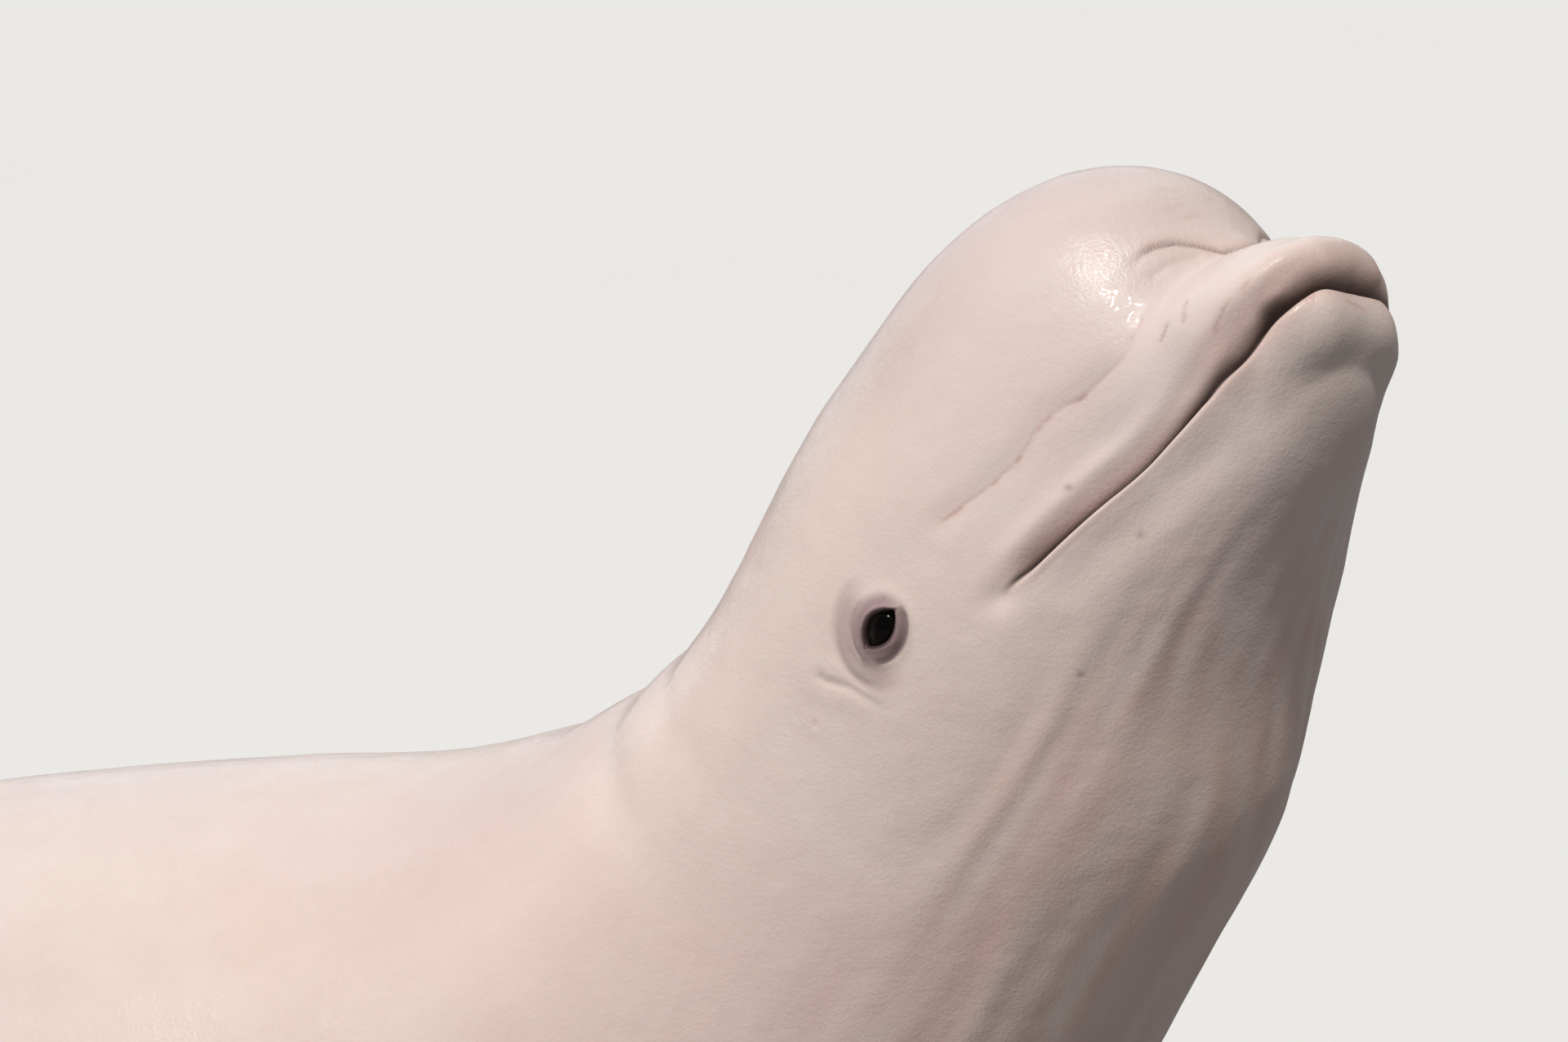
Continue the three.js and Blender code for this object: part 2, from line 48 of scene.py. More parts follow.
# Half-sizes of the body's tube at its stations
STATION = [0, 180, 300, 420, 540, 700, 900, 1200, 1700, 2300, 2900, 3300, 3600, 3760]
HALF_UP = [40, 110, 118, 135, 153, 195, 262, 320, 345, 300, 200, 138, 84, 40]
HALF_DOWN = [40, 110, 210, 237, 255, 280, 318, 345, 365, 315, 205, 140, 84, 40]
HALF_WIDTH = [40, 110, 160, 182, 195, 235, 290, 340, 365, 305, 180, 98, 44, 22]
NOSE_TAPER = 90
LAST_RING = 3780

# Rounded masses of the head: centre and half-sizes
MELON = ((-168, 0, 62), (123, 128, 96))
BROW = ((-286, 0, 23), (208, 158, 146))
THROAT = ((-303, 0, -58), (190, 150, 105))
BEAK = ((-118, 0, -27), (116, 101, 52.5))
JAW = ((-134, 0, -64), (118, 74, 60))
# Rolls of the lips: x, y, z, radius
UPPER_LIP = [
    (0, 0, -44, 17), (-6, 18, -45, 16.5), (-17, 38, -44, 15), (-33, 50, -44, 15.5), (-50, 55, -44, 17.5),
    (-74, 59, -46, 20), (-115, 65, -48, 23), (-176, 86, -55, 20), (-232, 108, -65, 13),
]
LOWER_LIP = [(-22, 0, -70, 19), (-24, 20, -70, 18), (-38, 33, -70, 17), (-62, 45, -72, 13.5)]
# How softly the masses run into one another; the beak's tip is the crispest
SOFT_BLEND = 60
MELON_BLEND = 50
JAW_BLEND = 40
LIP_ROLL = 16
BEAK_BLEND = 14
TIP_BLEND = 3
# Rounding where the left and the right side meet
MIDDLE_ROUND = 6
# From the lips' skewed tip to the even one: the way forward for each millimetre to the left, the shift to
# the left, and the rise for each millimetre to the left
TIP_SKEW = (0.12, 3.0, 0.14)
# Where that fades out: stations on the right and on the left, and heights
TIP_FADE_RIGHT = (30, 110)
TIP_FADE_LEFT = (40, 130)
TIP_FADE_UP = (-45, 0)

# The mouth's line, and how far it lifts from a straight line
MOUTH_STATION = [0, 80, 160, 238, 330, 450]
MOUTH_LIFT = [0, -6, -5, 7, 4.5, 0]
MOUTH_LEVEL = -74
MOUTH_END = 236
MOUTH_DEPTH = 11.0
# The line follows the step under the upper lip: the turns from straight ahead at which it is looked for,
# in degrees, the turns over which it lets go of it, and how high the step has to be, in millimetres
LINE_TURNS = list(range(0, 31, 2))
LINE_FREE = (6, 14)
LINE_STEP = 1.5
# How far the line runs over or under that, in millimetres, at wider turns
COURSE_TURNS = [0, 8, 12, 15, 19, 23, 33, 45, 55, 64, 90]
COURSE_LIFT = [0, 0, -2, -3.5, 0, 4, 5.5, 4, 2, 0, 0]

# The inner axis that the surface is found from, and the fan of rays at its front end
AXIS_DROP = 78
FAN_STATION = 290
TIP_HEIGHT = -62

# The spine is laid out in short steps, with the head's pitch, turn and roll in degrees. One of its points
# stands over the middle of the base
SPINE_STEP = 10
SPINE_END = 4000
HEAD_PITCH = 55
HEAD_TURN = 30
HEAD_ROLL = -13
BALANCE_STATION = 1690
BALANCE_HEIGHT = 750

# Folds of the face, on the left side; the right one mirrors them
MELON_FOLD = [
    (-37, 0, 13), (-42, 19, 15), (-46, 31, 25), (-50, 44, 33), (-55, 57, 36), (-60, 65, 36), (-68, 78, 31),
]
LIP_FOLD = [
    (-78, 89, -1), (-87, 97, -7), (-96, 102, -13), (-111, 111, -14), (-128, 121, -15), (-136, 127, -12),
    (-152, 136, -11), (-166, 141, -16), (-181, 146, -19), (-206, 156, -19), (-236, 165, -15),
]
SECOND_FOLD = [(-49, 36, 19), (-58, 56, 22), (-65, 68, 20)]
CHEEK_FOLD = [
    (-366, 179, -14), (-364, 179, -20), (-356, 179, -34), (-352, 177, -48), (-348, 175, -62),
    (-344, 172, -71),
]
EAR_PIT = (-392, 181, -30)
# Fine lines, scratches, marks and pits, each on one side only
MELON_LINES = [
    [(-46, -36, 47), (-42, -19, 47), (-40, -5, 44)],
    [(-48, -28, 78), (-45, -18, 72), (-43, -3, 67)],
    [(-48, -44, 59), (-44, -30, 57), (-41, -12, 56)],
]
LIP_SCRATCHES = [
    [(-74, -94, -22), (-66, -90, -18)],
    [(-56, -89, -25), (-50, -82, -16)],
    [(-46, -83, -42), (-27, -79, -37)],
    [(-19, -74, -39), (-14, -71, -37)],
]
JAW_MARKS = [
    [(-9, -42, -64), (-5, -38, -64)],
    [(-2, -18, -74), (-4, -9, -77), (-5, -5, -78), (-6, -2, -79)],
]
CHEEK_PITS = [(-167, -107, -96), (-256, -122, -134), (-170, -132, -50), (-250, 150, -92)]

# Eyes: the ball's place is that of the solid one, and it looks forward and a little down of its own axis
EYE = {"x": -311, "z": -30, "radius": 17, "depth": 11}
EYE_GAP = 0.6
CORNEA = 1.2
GAZE = (0.38, -0.12)
# The slit between the lids: half its length and height, and its middle, forward and up from the eye's
EYE_LONG = 14.6
EYE_TALL = 9.2
SLIT_MIDDLE = (1.6, -1.8)
# Short creases of the lids, forward and up from the eye's middle
LID_CREASES = [[(11, 6), (16, 10)], [(14, -1), (19, -0.3)], [(-15, 1.2), (-20, 0.9)]]

BLOWHOLE = {"x": -352, "width": 62, "sweep": 16}
# Folds across the nape: station, depth, width and how far they run back down the sides
NAPE_FOLDS = ((478, 3.0, 17, 30), (540, 5.0, 22, 44), (628, 3.0, 30, 70))
RIDGE = {"start": 1790, "end": 2420, "height": 24, "half_width": 26}
NAVEL = 2010
# Slits of the belly: station, half-length, depth and height of the rim
SLITS = ((2560, 70, 7, 2.5), (2730, 10, 5, 0))

FLIPPER = {
    "station": 770, "root": (0, 150, -150), "span": 460, "chord": 175, "broad": 92,
    "droop": 38, "sweep": 28, "pitch": -12,
}
# Width over which a fin's root is rounded into the body, in metres
ROOT_WIDTH = 0.045
FLUKE = {"half_span": 480, "chord": 300, "middle": -3700, "sweep": 150, "bulge": 48, "notch": 0.11}

# The stand: the base's size and corners, then the rods, whose heights count from the base's top
STAND_BASE = (1900, 760, 30)
STAND_CORNER = 60
ROD_STATIONS = {"stand_rod_front": 1230, "stand_rod_rear": 2150}
ROD_GAP = 0.3
COLLAR = [(75, 0), (75, 18), (74, 21), (71, 22), (46, 22), (41, 24), (38, 29)]
BOLT = [(8, 21.8), (8, 25), (7, 27.5), (4.5, 29), (3.2, 29), (3.2, 26)]
BOLT_COUNT = 4
BOLT_CIRCLE = 58
# Pads: height, radii and heights of the side, and radii of the top with its gap to the belly
PAD_HEIGHT = 46
PAD_GAP = 0.6
PAD_SIDE = ((40, 0.2), (80, 8), (92, 16), (95, 22))
PAD_TOP = [(95, 6.0), (94, 3.0), (91, 1.2)] + [(radius, PAD_GAP) for radius in (86, 78, 66, 52, 36, 18)]

# The camera looks along +Y from a little above, and the mouth's tip falls on one pixel of the photo
PHOTO_SIZE = (1920, 1276)
CAMERA_ELEVATION = 15.0
CAMERA_DISTANCE = 6000
CAMERA_FOCAL_PIXELS = 12000
CAMERA_POINT = (0, 0, -64)
CAMERA_PIXEL = (1660, 352)
# Lights: azimuth from the camera's side and elevation, strength, softness, colour, and if it is mirrored
SUNS = {
    "key": (4, 70, 2.4, 3.5, (1.0, 0.965, 0.92), True),
    "side": (-62, 10, 1.6, 30, (0.98, 0.98, 1.0), False),
    "rim": (-165, 30, 0.9, 70, (0.92, 0.96, 1.0), True),
}
WORLD_COLOUR = (0.95, 0.94, 0.95, 1)
WORLD_STRENGTH = 0.22


# Shape functions

def smooth(low, high, x):
    """0 up to low, 1 from high on, and an even slope between them."""
    t = np.clip((x - low) / (high - low), 0, 1)
    return t * t * (3 - 2 * t)


def hump(x, width, power=2):
    """1 at nought, falling to nothing over about a width on both sides."""
    return np.exp(-(x / width) ** power)


def spline(x, knots, values):
    """Natural cubic curve through the knots."""
    xs = np.array(knots, float)
    ys = np.array(values, float)
    n = len(xs)
    h = np.diff(xs)
    matrix = np.eye(n)
    pull = np.zeros(n)
    for i in range(1, n - 1):
        matrix[i, i - 1], matrix[i, i], matrix[i, i + 1] = h[i - 1], 2 * (h[i - 1] + h[i]), h[i]
        pull[i] = 6 * ((ys[i + 1] - ys[i]) / h[i] - (ys[i] - ys[i - 1]) / h[i - 1])
    m = np.linalg.solve(matrix, pull)
    i = np.clip(np.searchsorted(xs, x) - 1, 0, n - 2)
    t = x - xs[i]
    u = xs[i + 1] - x
    bow = (m[i] * u ** 3 + m[i + 1] * t ** 3) / (6 * h[i])
    return bow + (ys[i] / h[i] - m[i] * h[i] / 6) * u + (ys[i + 1] / h[i] - m[i + 1] * h[i] / 6) * t


def blend(a, b, width):
    """The lower of two fields, rounded where they meet."""
    h = np.clip(0.5 + 0.5 * (b - a) / width, 0, 1)
    return b * (1 - h) + a * h - width * h * (1 - h)


def ellipsoid(p, mass):
    """Distance, nearly, to a mass with a centre and three half-sizes."""
    centre, half = np.array(mass[0], float), np.array(mass[1], float)
    q = p - centre
    near = np.linalg.norm(q / half, axis=-1)
    slope = np.linalg.norm(q / half ** 2, axis=-1) + 1e-9
    return near * (near - 1) / slope


def capsule(p, a, b):
    """Distance to a rod that is rounded and tapers from one ball to the other."""
    start, along = np.array(a[:3], float), np.array(b[:3], float) - np.array(a[:3], float)
    t = np.clip(((p - start) @ along) / (along @ along), 0, 1)
    return np.linalg.norm(p - start - t[..., None] * along, axis=-1) - (a[3] + (b[3] - a[3]) * t)


def tube(p):
    """The body's tube of ovals, without the masses of the head."""
    s = -p[..., 0]
    inside = np.clip(s, 0, STATION[-1])
    up, down, wide = (spline(inside, STATION, half) for half in (HALF_UP, HALF_DOWN, HALF_WIDTH))
    z = p[..., 2]
    rho = np.hypot(p[..., 1], z) + 1e-9
    high = np.where(z > 0, up, down)
    oval = 1 / np.sqrt((p[..., 1] / rho / wide) ** 2 + (z / rho / high) ** 2)
    closing = np.maximum(0, NOSE_TAPER - s) + np.maximum(0, s - STATION[-1])
    return (rho - oval + closing) * 0.9


def rolled(p, mass, chain):
    """A mass with a lip rolled along it."""
    field = ellipsoid(p, mass)
    for a, b in zip(chain[:-1], chain[1:]):
        field = blend(field, capsule(p, a, b), LIP_ROLL)
    return field


def straighten(p):
    """Takes points of the skewed lips' tip to the even one."""
    left = smooth(-15, 15, p[..., 1])
    s = -p[..., 0]
    fade = 1 - left * smooth(*TIP_FADE_LEFT, s) - (1 - left) * smooth(*TIP_FADE_RIGHT, s)
    fade = fade * (1 - smooth(*TIP_FADE_UP, p[..., 2]))
    turn, shift, lean = TIP_SKEW
    return p + np.stack([turn * p[..., 1], shift + 0 * fade, lean * p[..., 1]], -1) * fade[..., None]


def fold_sides(p):
    """Folds the left and right sides onto the left one."""
    return np.stack([p[..., 0], np.abs(p[..., 1]), p[..., 2]], -1)


def one_side(p):
    """Folds the left and right sides onto one, rounded where they meet."""
    return np.stack([p[..., 0], np.hypot(p[..., 1], MIDDLE_ROUND), p[..., 2]], -1)


def lower_field(p):
    """The even body with its jaw, without the beak."""
    p = one_side(p)
    field = blend(tube(p), ellipsoid(p, BROW), SOFT_BLEND)
    field = blend(field, ellipsoid(p, THROAT), SOFT_BLEND)
    field = blend(field, ellipsoid(p, MELON), MELON_BLEND)
    return blend(field, rolled(p, JAW, LOWER_LIP), JAW_BLEND)


def even_field(p):
    """The body as it would be if its lips' tip weren't askew."""
    width = TIP_BLEND + (BEAK_BLEND - TIP_BLEND) * smooth(30, 80, -p[..., 0])
    return blend(lower_field(p), rolled(one_side(p), BEAK, UPPER_LIP), width)


def body_field(p):
    """Below zero inside the body, above zero outside."""
    return even_field(straighten(p))


def axis_height(station):
    """Height of the inner axis, which lies low in the head."""
    return -AXIS_DROP * (1 - smooth(330, 1500, station))


FAN_TILT = math.atan2(TIP_HEIGHT - axis_height(FAN_STATION), FAN_STATION)
MOUTH_NORMAL = np.array([-math.sin(FAN_TILT), 0, math.cos(FAN_TILT)])
FAN_CENTRE = np.array([-FAN_STATION, 0, axis_height(FAN_STATION)])


def ray(station, swing, around):
    """Start and direction of a ray: square to the axis, or swung forward by an angle in the fan."""
    start = np.stack([-station, 0 * station, axis_height(station)], -1)
    tilt_c, tilt_s = math.cos(FAN_TILT), math.sin(FAN_TILT)
    forward = np.sin(swing)
    side = np.cos(around) * np.cos(swing)
    lift = np.sin(around) * np.cos(swing)
    way = np.stack([forward * tilt_c - lift * tilt_s, side, forward * tilt_s + lift * tilt_c], -1)
    return start, way / np.linalg.norm(way, axis=-1, keepdims=True)


def settle(p):
    """Curves the mouth's line, and what is near it, in height."""
    s = np.clip(-p[..., 0], MOUTH_STATION[0], MOUTH_STATION[-1])
    lift = spline(s, MOUTH_STATION, MOUTH_LIFT) * hump(p[..., 2] - MOUTH_LEVEL, 70)
    return p + np.stack([0 * lift, 0 * lift, lift], -1)


def spine_frames():
    """Centre and axes of the bent body every few millimetres behind the beak's tip."""
    s = np.arange(0, SPINE_END + 1, SPINE_STEP)
    pitch = HEAD_PITCH - 37 * smooth(400, 1150, s) - 18 * smooth(1200, 3600, s)
    turn = HEAD_TURN - 25 * smooth(400, 1200, s) - 3 * smooth(1200, 3600, s)
    roll = HEAD_ROLL * (1 - smooth(400, 1300, s))
    frames = []
    for p, t, r in zip(np.radians(pitch), np.radians(turn), np.radians(roll)):
        pitched = Matrix.Rotation(-t, 3, "Z") @ Matrix.Rotation(-p, 3, "Y")
        frames.append(pitched @ Matrix.Rotation(r, 3, "X"))
    frames = np.array([[list(row) for row in m] for m in frames])
    forward = frames[:, :, 0]
    steps = (forward[1:] + forward[:-1]) / 2 * SPINE_STEP
    centre = np.concatenate([np.zeros((1, 3)), -np.cumsum(steps, 0)])
    centre += np.array([0, 0, BALANCE_HEIGHT]) - centre[BALANCE_STATION // SPINE_STEP]
    return centre, frames


SPINE_CENTRE, SPINE_FRAME = spine_frames()


def bend(p):
    """Carries points of the straight whale to the posed one."""
    p = settle(np.asarray(p, float))
    s = -p[..., 0]
    f = np.clip(s / SPINE_STEP, 0, len(SPINE_CENTRE) - 1.001)
    i = f.astype(int)
    t = (f - i)[..., None]
    centre = SPINE_CENTRE[i] * (1 - t) + SPINE_CENTRE[i + 1] * t
    left = SPINE_FRAME[i][..., 1] * (1 - t) + SPINE_FRAME[i + 1][..., 1] * t
    up = SPINE_FRAME[i][..., 2] * (1 - t) + SPINE_FRAME[i + 1][..., 2] * t
    ahead = np.maximum(0, -s)[..., None] * SPINE_FRAME[0][:, 0]
    return centre + ahead + p[..., 1:2] * left + p[..., 2:3] * up


def noise(p, size, seed):
    """Smooth random numbers from -1 to 1 that change over about `size` millimetres."""
    table = np.random.default_rng(seed).uniform(-1, 1, 4096)
    cell = np.asarray(p) / size
    low = np.floor(cell).astype(np.int64)
    part = cell - low
    part = part * part * (3 - 2 * part)
    total = np.zeros(cell.shape[:-1])
    for corner in np.ndindex(2, 2, 2):
        at = low + np.array(corner)
        key = (at[..., 0] * 73856093 ^ at[..., 1] * 19349663 ^ at[..., 2] * 83492791) & 4095
        total += np.prod(np.where(corner, part, 1 - part), axis=-1) * table[key]
    return total


def line_distance(p, line):
    """Distance to a line of points, and how far along it the nearest place is, from 0 to 1."""
    points = np.array(line, float)
    best = np.full(p.shape[:-1], 1e9)
    where = np.zeros(p.shape[:-1])
    steps = len(points) - 1
    for k in range(steps):
        along = points[k + 1] - points[k]
        t = np.clip(((p - points[k]) @ along) / (along @ along), 0, 1)
        far = np.linalg.norm(p - points[k] - t[..., None] * along, axis=-1)
        where = np.where(far < best, (k + t) / steps, where)
        best = np.minimum(best, far)
    return best, where


def point_distance(p, point):
    return np.linalg.norm(p - np.array(point, float), axis=-1)


def groove(distance, depth, width):
    """How much a crease lowers the skin at a distance from its middle."""
    return -depth * hump(distance, width)


# The skin's grid

def ring_places():
    """Station and forward swing of every ring, closest together at the mouth and the eyes."""
    thin = 1
    tip = np.arange(89.85, 78, -0.15 * thin)
    fan = np.radians(np.concatenate([tip, np.linspace(78, 0, 217 // thin)]))
    eye = np.arange(FAN_STATION + 1, 350, 1.0 * thin)
    neck = np.arange(350, 700, 2.2 * thin)
    count = 330 // thin
    trunk = 700 + (LAST_RING - 700) * (np.arange(count + 1) / count)
    station = np.concatenate([np.full(len(fan), float(FAN_STATION)), eye, neck, trunk])
    swing = np.concatenate([fan, np.zeros(len(eye) + len(neck) + len(trunk))])
    return station, swing


def around_angles():
    """Angles round the axis, denser at the mouth's line, the lips and the eyes on both sides."""
    count = 600
    fine = np.linspace(0, 2 * math.pi, 7201)
    level = np.degrees(np.arcsin(np.clip(np.sin(fine), -1, 1)))
    weight = 1 + 3.2 * hump(level, 7) + 2.6 * hump(level - 16, 11) + 0.7 * hump(level - 40, 25)
    total = np.concatenate([[0], np.cumsum((weight[1:] + weight[:-1]) / 2)])
    half = total[len(total) // 2]
    share = np.arange(count // 2) / (count // 2)
    first = np.interp(share * half, total, fine)
    second = np.interp(half + share * (total[-1] - half), total, fine)
    return np.concatenate([first, second])


def march(station, swing, around, reach, steps, field):
    """Walks along the rays to the field's surface and gives how far out it lies."""
    start, way = ray(station, swing, around)
    for _ in range(steps):
        reach = np.clip(reach - field(start + reach[..., None] * way) * 0.8, 1, 700)
    return reach


def fine_reach(station, swing, around):
    """Distance along every ray to the surface: found on every fourth ray, then polished on all."""
    rows = np.unique(np.r_[0:len(station):4, len(station) - 1])
    columns = np.arange(0, len(around) + 1, 4)
    wrapped = np.append(around, around[0] + 2 * math.pi)
    grid = np.ix_(rows, columns)
    shape = (len(station), len(wrapped))
    rays = [np.broadcast_to(part, shape) for part in (station[:, None], swing[:, None], wrapped[None, :])]
    coarse = np.full((len(rows), len(columns)), 40.0)
    coarse = march(*(part[grid] for part in rays), coarse, 46, body_field)
    wide = np.stack([np.interp(np.arange(shape[1]), columns, row) for row in coarse])
    reach = np.stack([np.interp(np.arange(shape[0]), rows, column) for column in wide.T]).T[:, :-1]
    head = station < 620
    for chosen, field in ((head, body_field), (~head, tube)):
        reach[chosen] = march(*(part[chosen, :-1] for part in rays), reach[chosen], 7, field)
    return reach


def grid_normals(p):
    """Outward normals of a grid that wraps round in its second direction."""
    along = np.gradient(p, axis=0)
    around = np.roll(p, -1, axis=1) - np.roll(p, 1, axis=1)
    normal = np.cross(along, around)
    normal /= np.linalg.norm(normal, axis=-1, keepdims=True) + 1e-12
    return normal


# Folds, lids and creases

def eye_place(side):
    """The smooth skin's point at the eye's middle, the way out of it, and the ways forward and up."""
    y = 60.0
    while body_field(np.array([EYE["x"], y, EYE["z"]])) < 0:
        y += 0.25
    skin = np.array([EYE["x"], y, EYE["z"]])
    out = np.array([body_field(skin + step) - body_field(skin - step) for step in np.eye(3)])
    out /= np.linalg.norm(out)
    forward = np.array([1.0, 0, 0]) - out[0] * out
    forward /= np.linalg.norm(forward)
    up = np.cross(forward, out)
    mirror = np.array([1, side, 1])
    return skin * mirror, out * mirror, forward * mirror, np.abs(up[2]) / up[2] * up * mirror


EYE_FRAME = eye_place(1)


def eye_coordinates(q):
    """Places near the eye: forward and up along the skin, and the distance from the eye's middle."""
    skin, out, forward, up = EYE_FRAME
    away = q - skin
    return away @ forward, away @ up, np.linalg.norm(away, axis=-1)


def eye_opening(u, v):
    """How far inside the slit between the lids a place is, in millimetres: above zero is inside."""
    along, above = u - SLIT_MIDDLE[0], v - SLIT_MIDDLE[1]
    long = np.clip(1 - (np.abs(along) / EYE_LONG) ** 1.9, 0, 1)
    past = np.maximum(0, np.abs(along) - EYE_LONG)
    return EYE_TALL * long ** 0.8 - np.abs(above + 0.04 * along) - past


def eye_relief(q):
    """The lids' mound, the slit with its raised edge, and the folds and creases round it."""
    u, v, far = eye_coordinates(q)
    near = far < 70
    u, v = np.where(near, u, 60), np.where(near, v, 60)
    inside = eye_opening(u, v)
    ring = np.hypot(u, v)
    way = np.degrees(np.arctan2(v, u))
    behind = np.clip(smooth(70, 105, way) + smooth(-140, -170, way), 0, 1)
    below = smooth(0, -30, way) * smooth(-150, -115, way)
    h = 4.6 * hump(ring, 22, 4) - 12 * smooth(-0.6, 2.6, inside)
    h += 2.2 * hump(inside + 3.4, 2.4) * hump(ring, 21, 6)
    h += (groove(ring - 22, 1.9, 1.2) + groove(ring - 37, 1.4, 3)) * behind
    h += groove(ring - 20, 3.0, 2.0) * below
    for crease in LID_CREASES:
        far, _ = line_distance(np.stack([u, v], -1), crease)
        h += groove(far, 1.1, 0.8)
    return np.where(near, h, 0)


def lip_line():
    """Angles over the mouth's plane, in degrees, at which the upper lip starts to stand out."""
    turn = np.radians(LINE_TURNS)[:, None]
    lift = np.radians(np.linspace(-7, 7, 141))[None, :]
    swing = np.arcsin(np.cos(lift) * np.cos(turn))
    around = np.arctan2(np.sin(lift) + 0 * turn, np.cos(lift) * np.sin(turn))
    station = np.full(swing.shape, float(FAN_STATION))
    reach = np.full(swing.shape, 200.0)
    whole = march(station, swing, around, reach, 60, even_field)
    lower = march(station, swing, around, reach, 60, lower_field)
    meets = [np.nonzero(row > LINE_STEP)[0][0] for row in whole - lower]
    natural = np.degrees(lift[0, meets])
    return natural * (1 - smooth(*LINE_FREE, np.array(LINE_TURNS)))


def mouth_place(p):
    """Angle from straight ahead, in degrees, and height over the line where the lips meet."""
    away = straighten(p) - FAN_CENTRE
    ahead = away @ np.array([math.cos(FAN_TILT), 0, math.sin(FAN_TILT)])
    turn = np.degrees(np.arctan2(np.abs(away[..., 1]), ahead))
    lift = spline(np.clip(turn, LINE_TURNS[0], LINE_TURNS[-1]), LINE_TURNS, LINE_LIFT)
    line = np.hypot(away[..., 1], ahead) * np.tan(np.radians(lift))
    course = spline(np.clip(turn, COURSE_TURNS[0], COURSE_TURNS[-1]), COURSE_TURNS, COURSE_LIFT)
    return turn, away @ MOUTH_NORMAL - line - course


def mouth_height(p):
    return mouth_place(p)[1]


LINE_LIFT = lip_line()


def lip_gap(p):
    """1 on both sides of the middle of the lips' tip, where they part a little."""
    return hump(p[..., 0] + 18, 9) * smooth(8, 24, np.abs(p[..., 1]))


def mouth_pull(p):
    """How far each ray goes out at the mouth: a deep line, a rounded upper lip and a tucked jaw."""
    turn, height = mouth_place(p)
    s = -p[..., 0]
    tip = 1 - smooth(25, 110, s)
    gap = lip_gap(p)
    ends = 1 - smooth(MOUTH_END - 26, MOUTH_END + 4, s)
    above = hump(np.maximum(0, height), 2.8 + 2.8 * smooth(80, 130, s), 1.5)
    below = hump(np.maximum(0, -height), 2.4 + 1.2 * gap, 1.8)
    line = (MOUTH_DEPTH - 2 * tip + 4 * gap) * np.where(height > 0, above, below)
    curl = 2.2 * (1 - tip) * hump(height - 14, 8)
    side = smooth(6, 13, turn) * (1 - smooth(40, 70, turn))
    fuller = 5.0 * smooth(0, -20, p[..., 1]) * smooth(1, -3, height) * hump(height + 4, 11)
    thinner = 3.0 * hump(height - 9, 6)
    tuck = 2.0 * (1 - tip) * smooth(0, -9, height) * hump(height + 12, 20, 4)
    corner = 3.5 * hump(s - MOUTH_END - 8, 12) * hump(height, 9)
    return (curl + side * (fuller - thinner) - tuck - line) * ends - corner


def relax(reach, p, finer):
    """Smooths the base shape of the side of the beak, where folds are laid on."""
    height = (p - FAN_CENTRE) @ MOUTH_NORMAL
    s = -p[..., 0]
    weight = 0.9 * smooth(60, 100, s) * (1 - smooth(230, 290, s))
    weight = weight * smooth(24, 44, height) * (1 - smooth(115, 145, height))
    for k in range(500 // finer ** 2):
        mean = (np.roll(reach, 1, axis=1) + np.roll(reach, -1, axis=1)) / 2
        if k % 6 == 0:
            before = np.vstack([reach[:1], reach[:-1]])
            behind = np.vstack([reach[1:], reach[-1:]])
            mean = (mean + (before + behind) / 2) / 2
        reach = reach + (mean - reach) * weight
    return reach


def face_relief(q, p):
    """Creases, scratches and pits of the face. q has both sides folded onto one; p keeps them apart."""
    far, where = line_distance(q, MELON_FOLD)
    h = (groove(far, 2.2, 1.6) + 0.5 * hump(far - 7, 6)) * (1 - smooth(0.72, 1.0, where))
    far, where = line_distance(q, LIP_FOLD)
    breaks = 0.55 + 0.45 * noise(q, 9, 11)
    h += groove(far, 1.3, 1.5) * breaks * (1 - 0.6 * where) + groove(far, 1.4, 9)
    far, _ = line_distance(q, SECOND_FOLD)
    h += groove(far, 0.9, 2.0)
    far, where = line_distance(q, CHEEK_FOLD)
    h += (groove(far, 1.2, 2.4) + 0.6 * hump(far - 9, 7)) * (1 - smooth(0.35, 0.95, where))
    h += groove(point_distance(q, EAR_PIT), 1.6, 2.2)
    for line in MELON_LINES:
        far, where = line_distance(p, line)
        h += groove(far, 0.4, 2.2) * np.sin(math.pi * np.clip(where, 0.02, 0.98))
    for line in LIP_SCRATCHES:
        far, _ = line_distance(p, line)
        h += groove(far, 0.8, 1.1)
    for line in JAW_MARKS:
        far, _ = line_distance(p, line)
        h += groove(far, 0.9, 1.3)
    for pit in CHEEK_PITS:
        h += groove(point_distance(p, pit), 0.8, 2.2)
    return h


def throat_relief(p, around):
    """Soft folds that run along the throat from the jaw to the chest."""
    s = -p[..., 0]
    under = smooth(-95, -150, p[..., 2]) * smooth(60, 140, s) * (1 - smooth(700, 1050, s))
    wander = 5 * noise(p * [0.35, 1, 1], 60, 5)
    degrees = np.degrees(around)
    wave = np.sin(degrees / 4.4 + wander) + 0.5 * np.sin(degrees / 2.1 + 1.3 * wander)
    return 0.55 * under * wave


def blowhole_distance(p):
    """Distance to the blowhole's crescent, whose horns point to the front."""
    half = BLOWHOLE["width"] / 2
    middle = BLOWHOLE["x"] + BLOWHOLE["sweep"] * np.clip(p[..., 1] / half, -1, 1) ** 2
    past = np.maximum(0, np.abs(p[..., 1]) - half)
    return np.hypot(p[..., 0] - middle, past)


def blowhole_relief(p):
    """A slit across the top of the head, with a raised rim and a shallow dish behind it."""
    far = blowhole_distance(p)
    dish = -2.5 * hump(p[..., 0] - BLOWHOLE["x"] + 26, 20) * hump(p[..., 1], 40)
    return smooth(40, 80, p[..., 2]) * (groove(far, 10.0, 3.2) + 4.0 * hump(far - 9, 9) + dish)


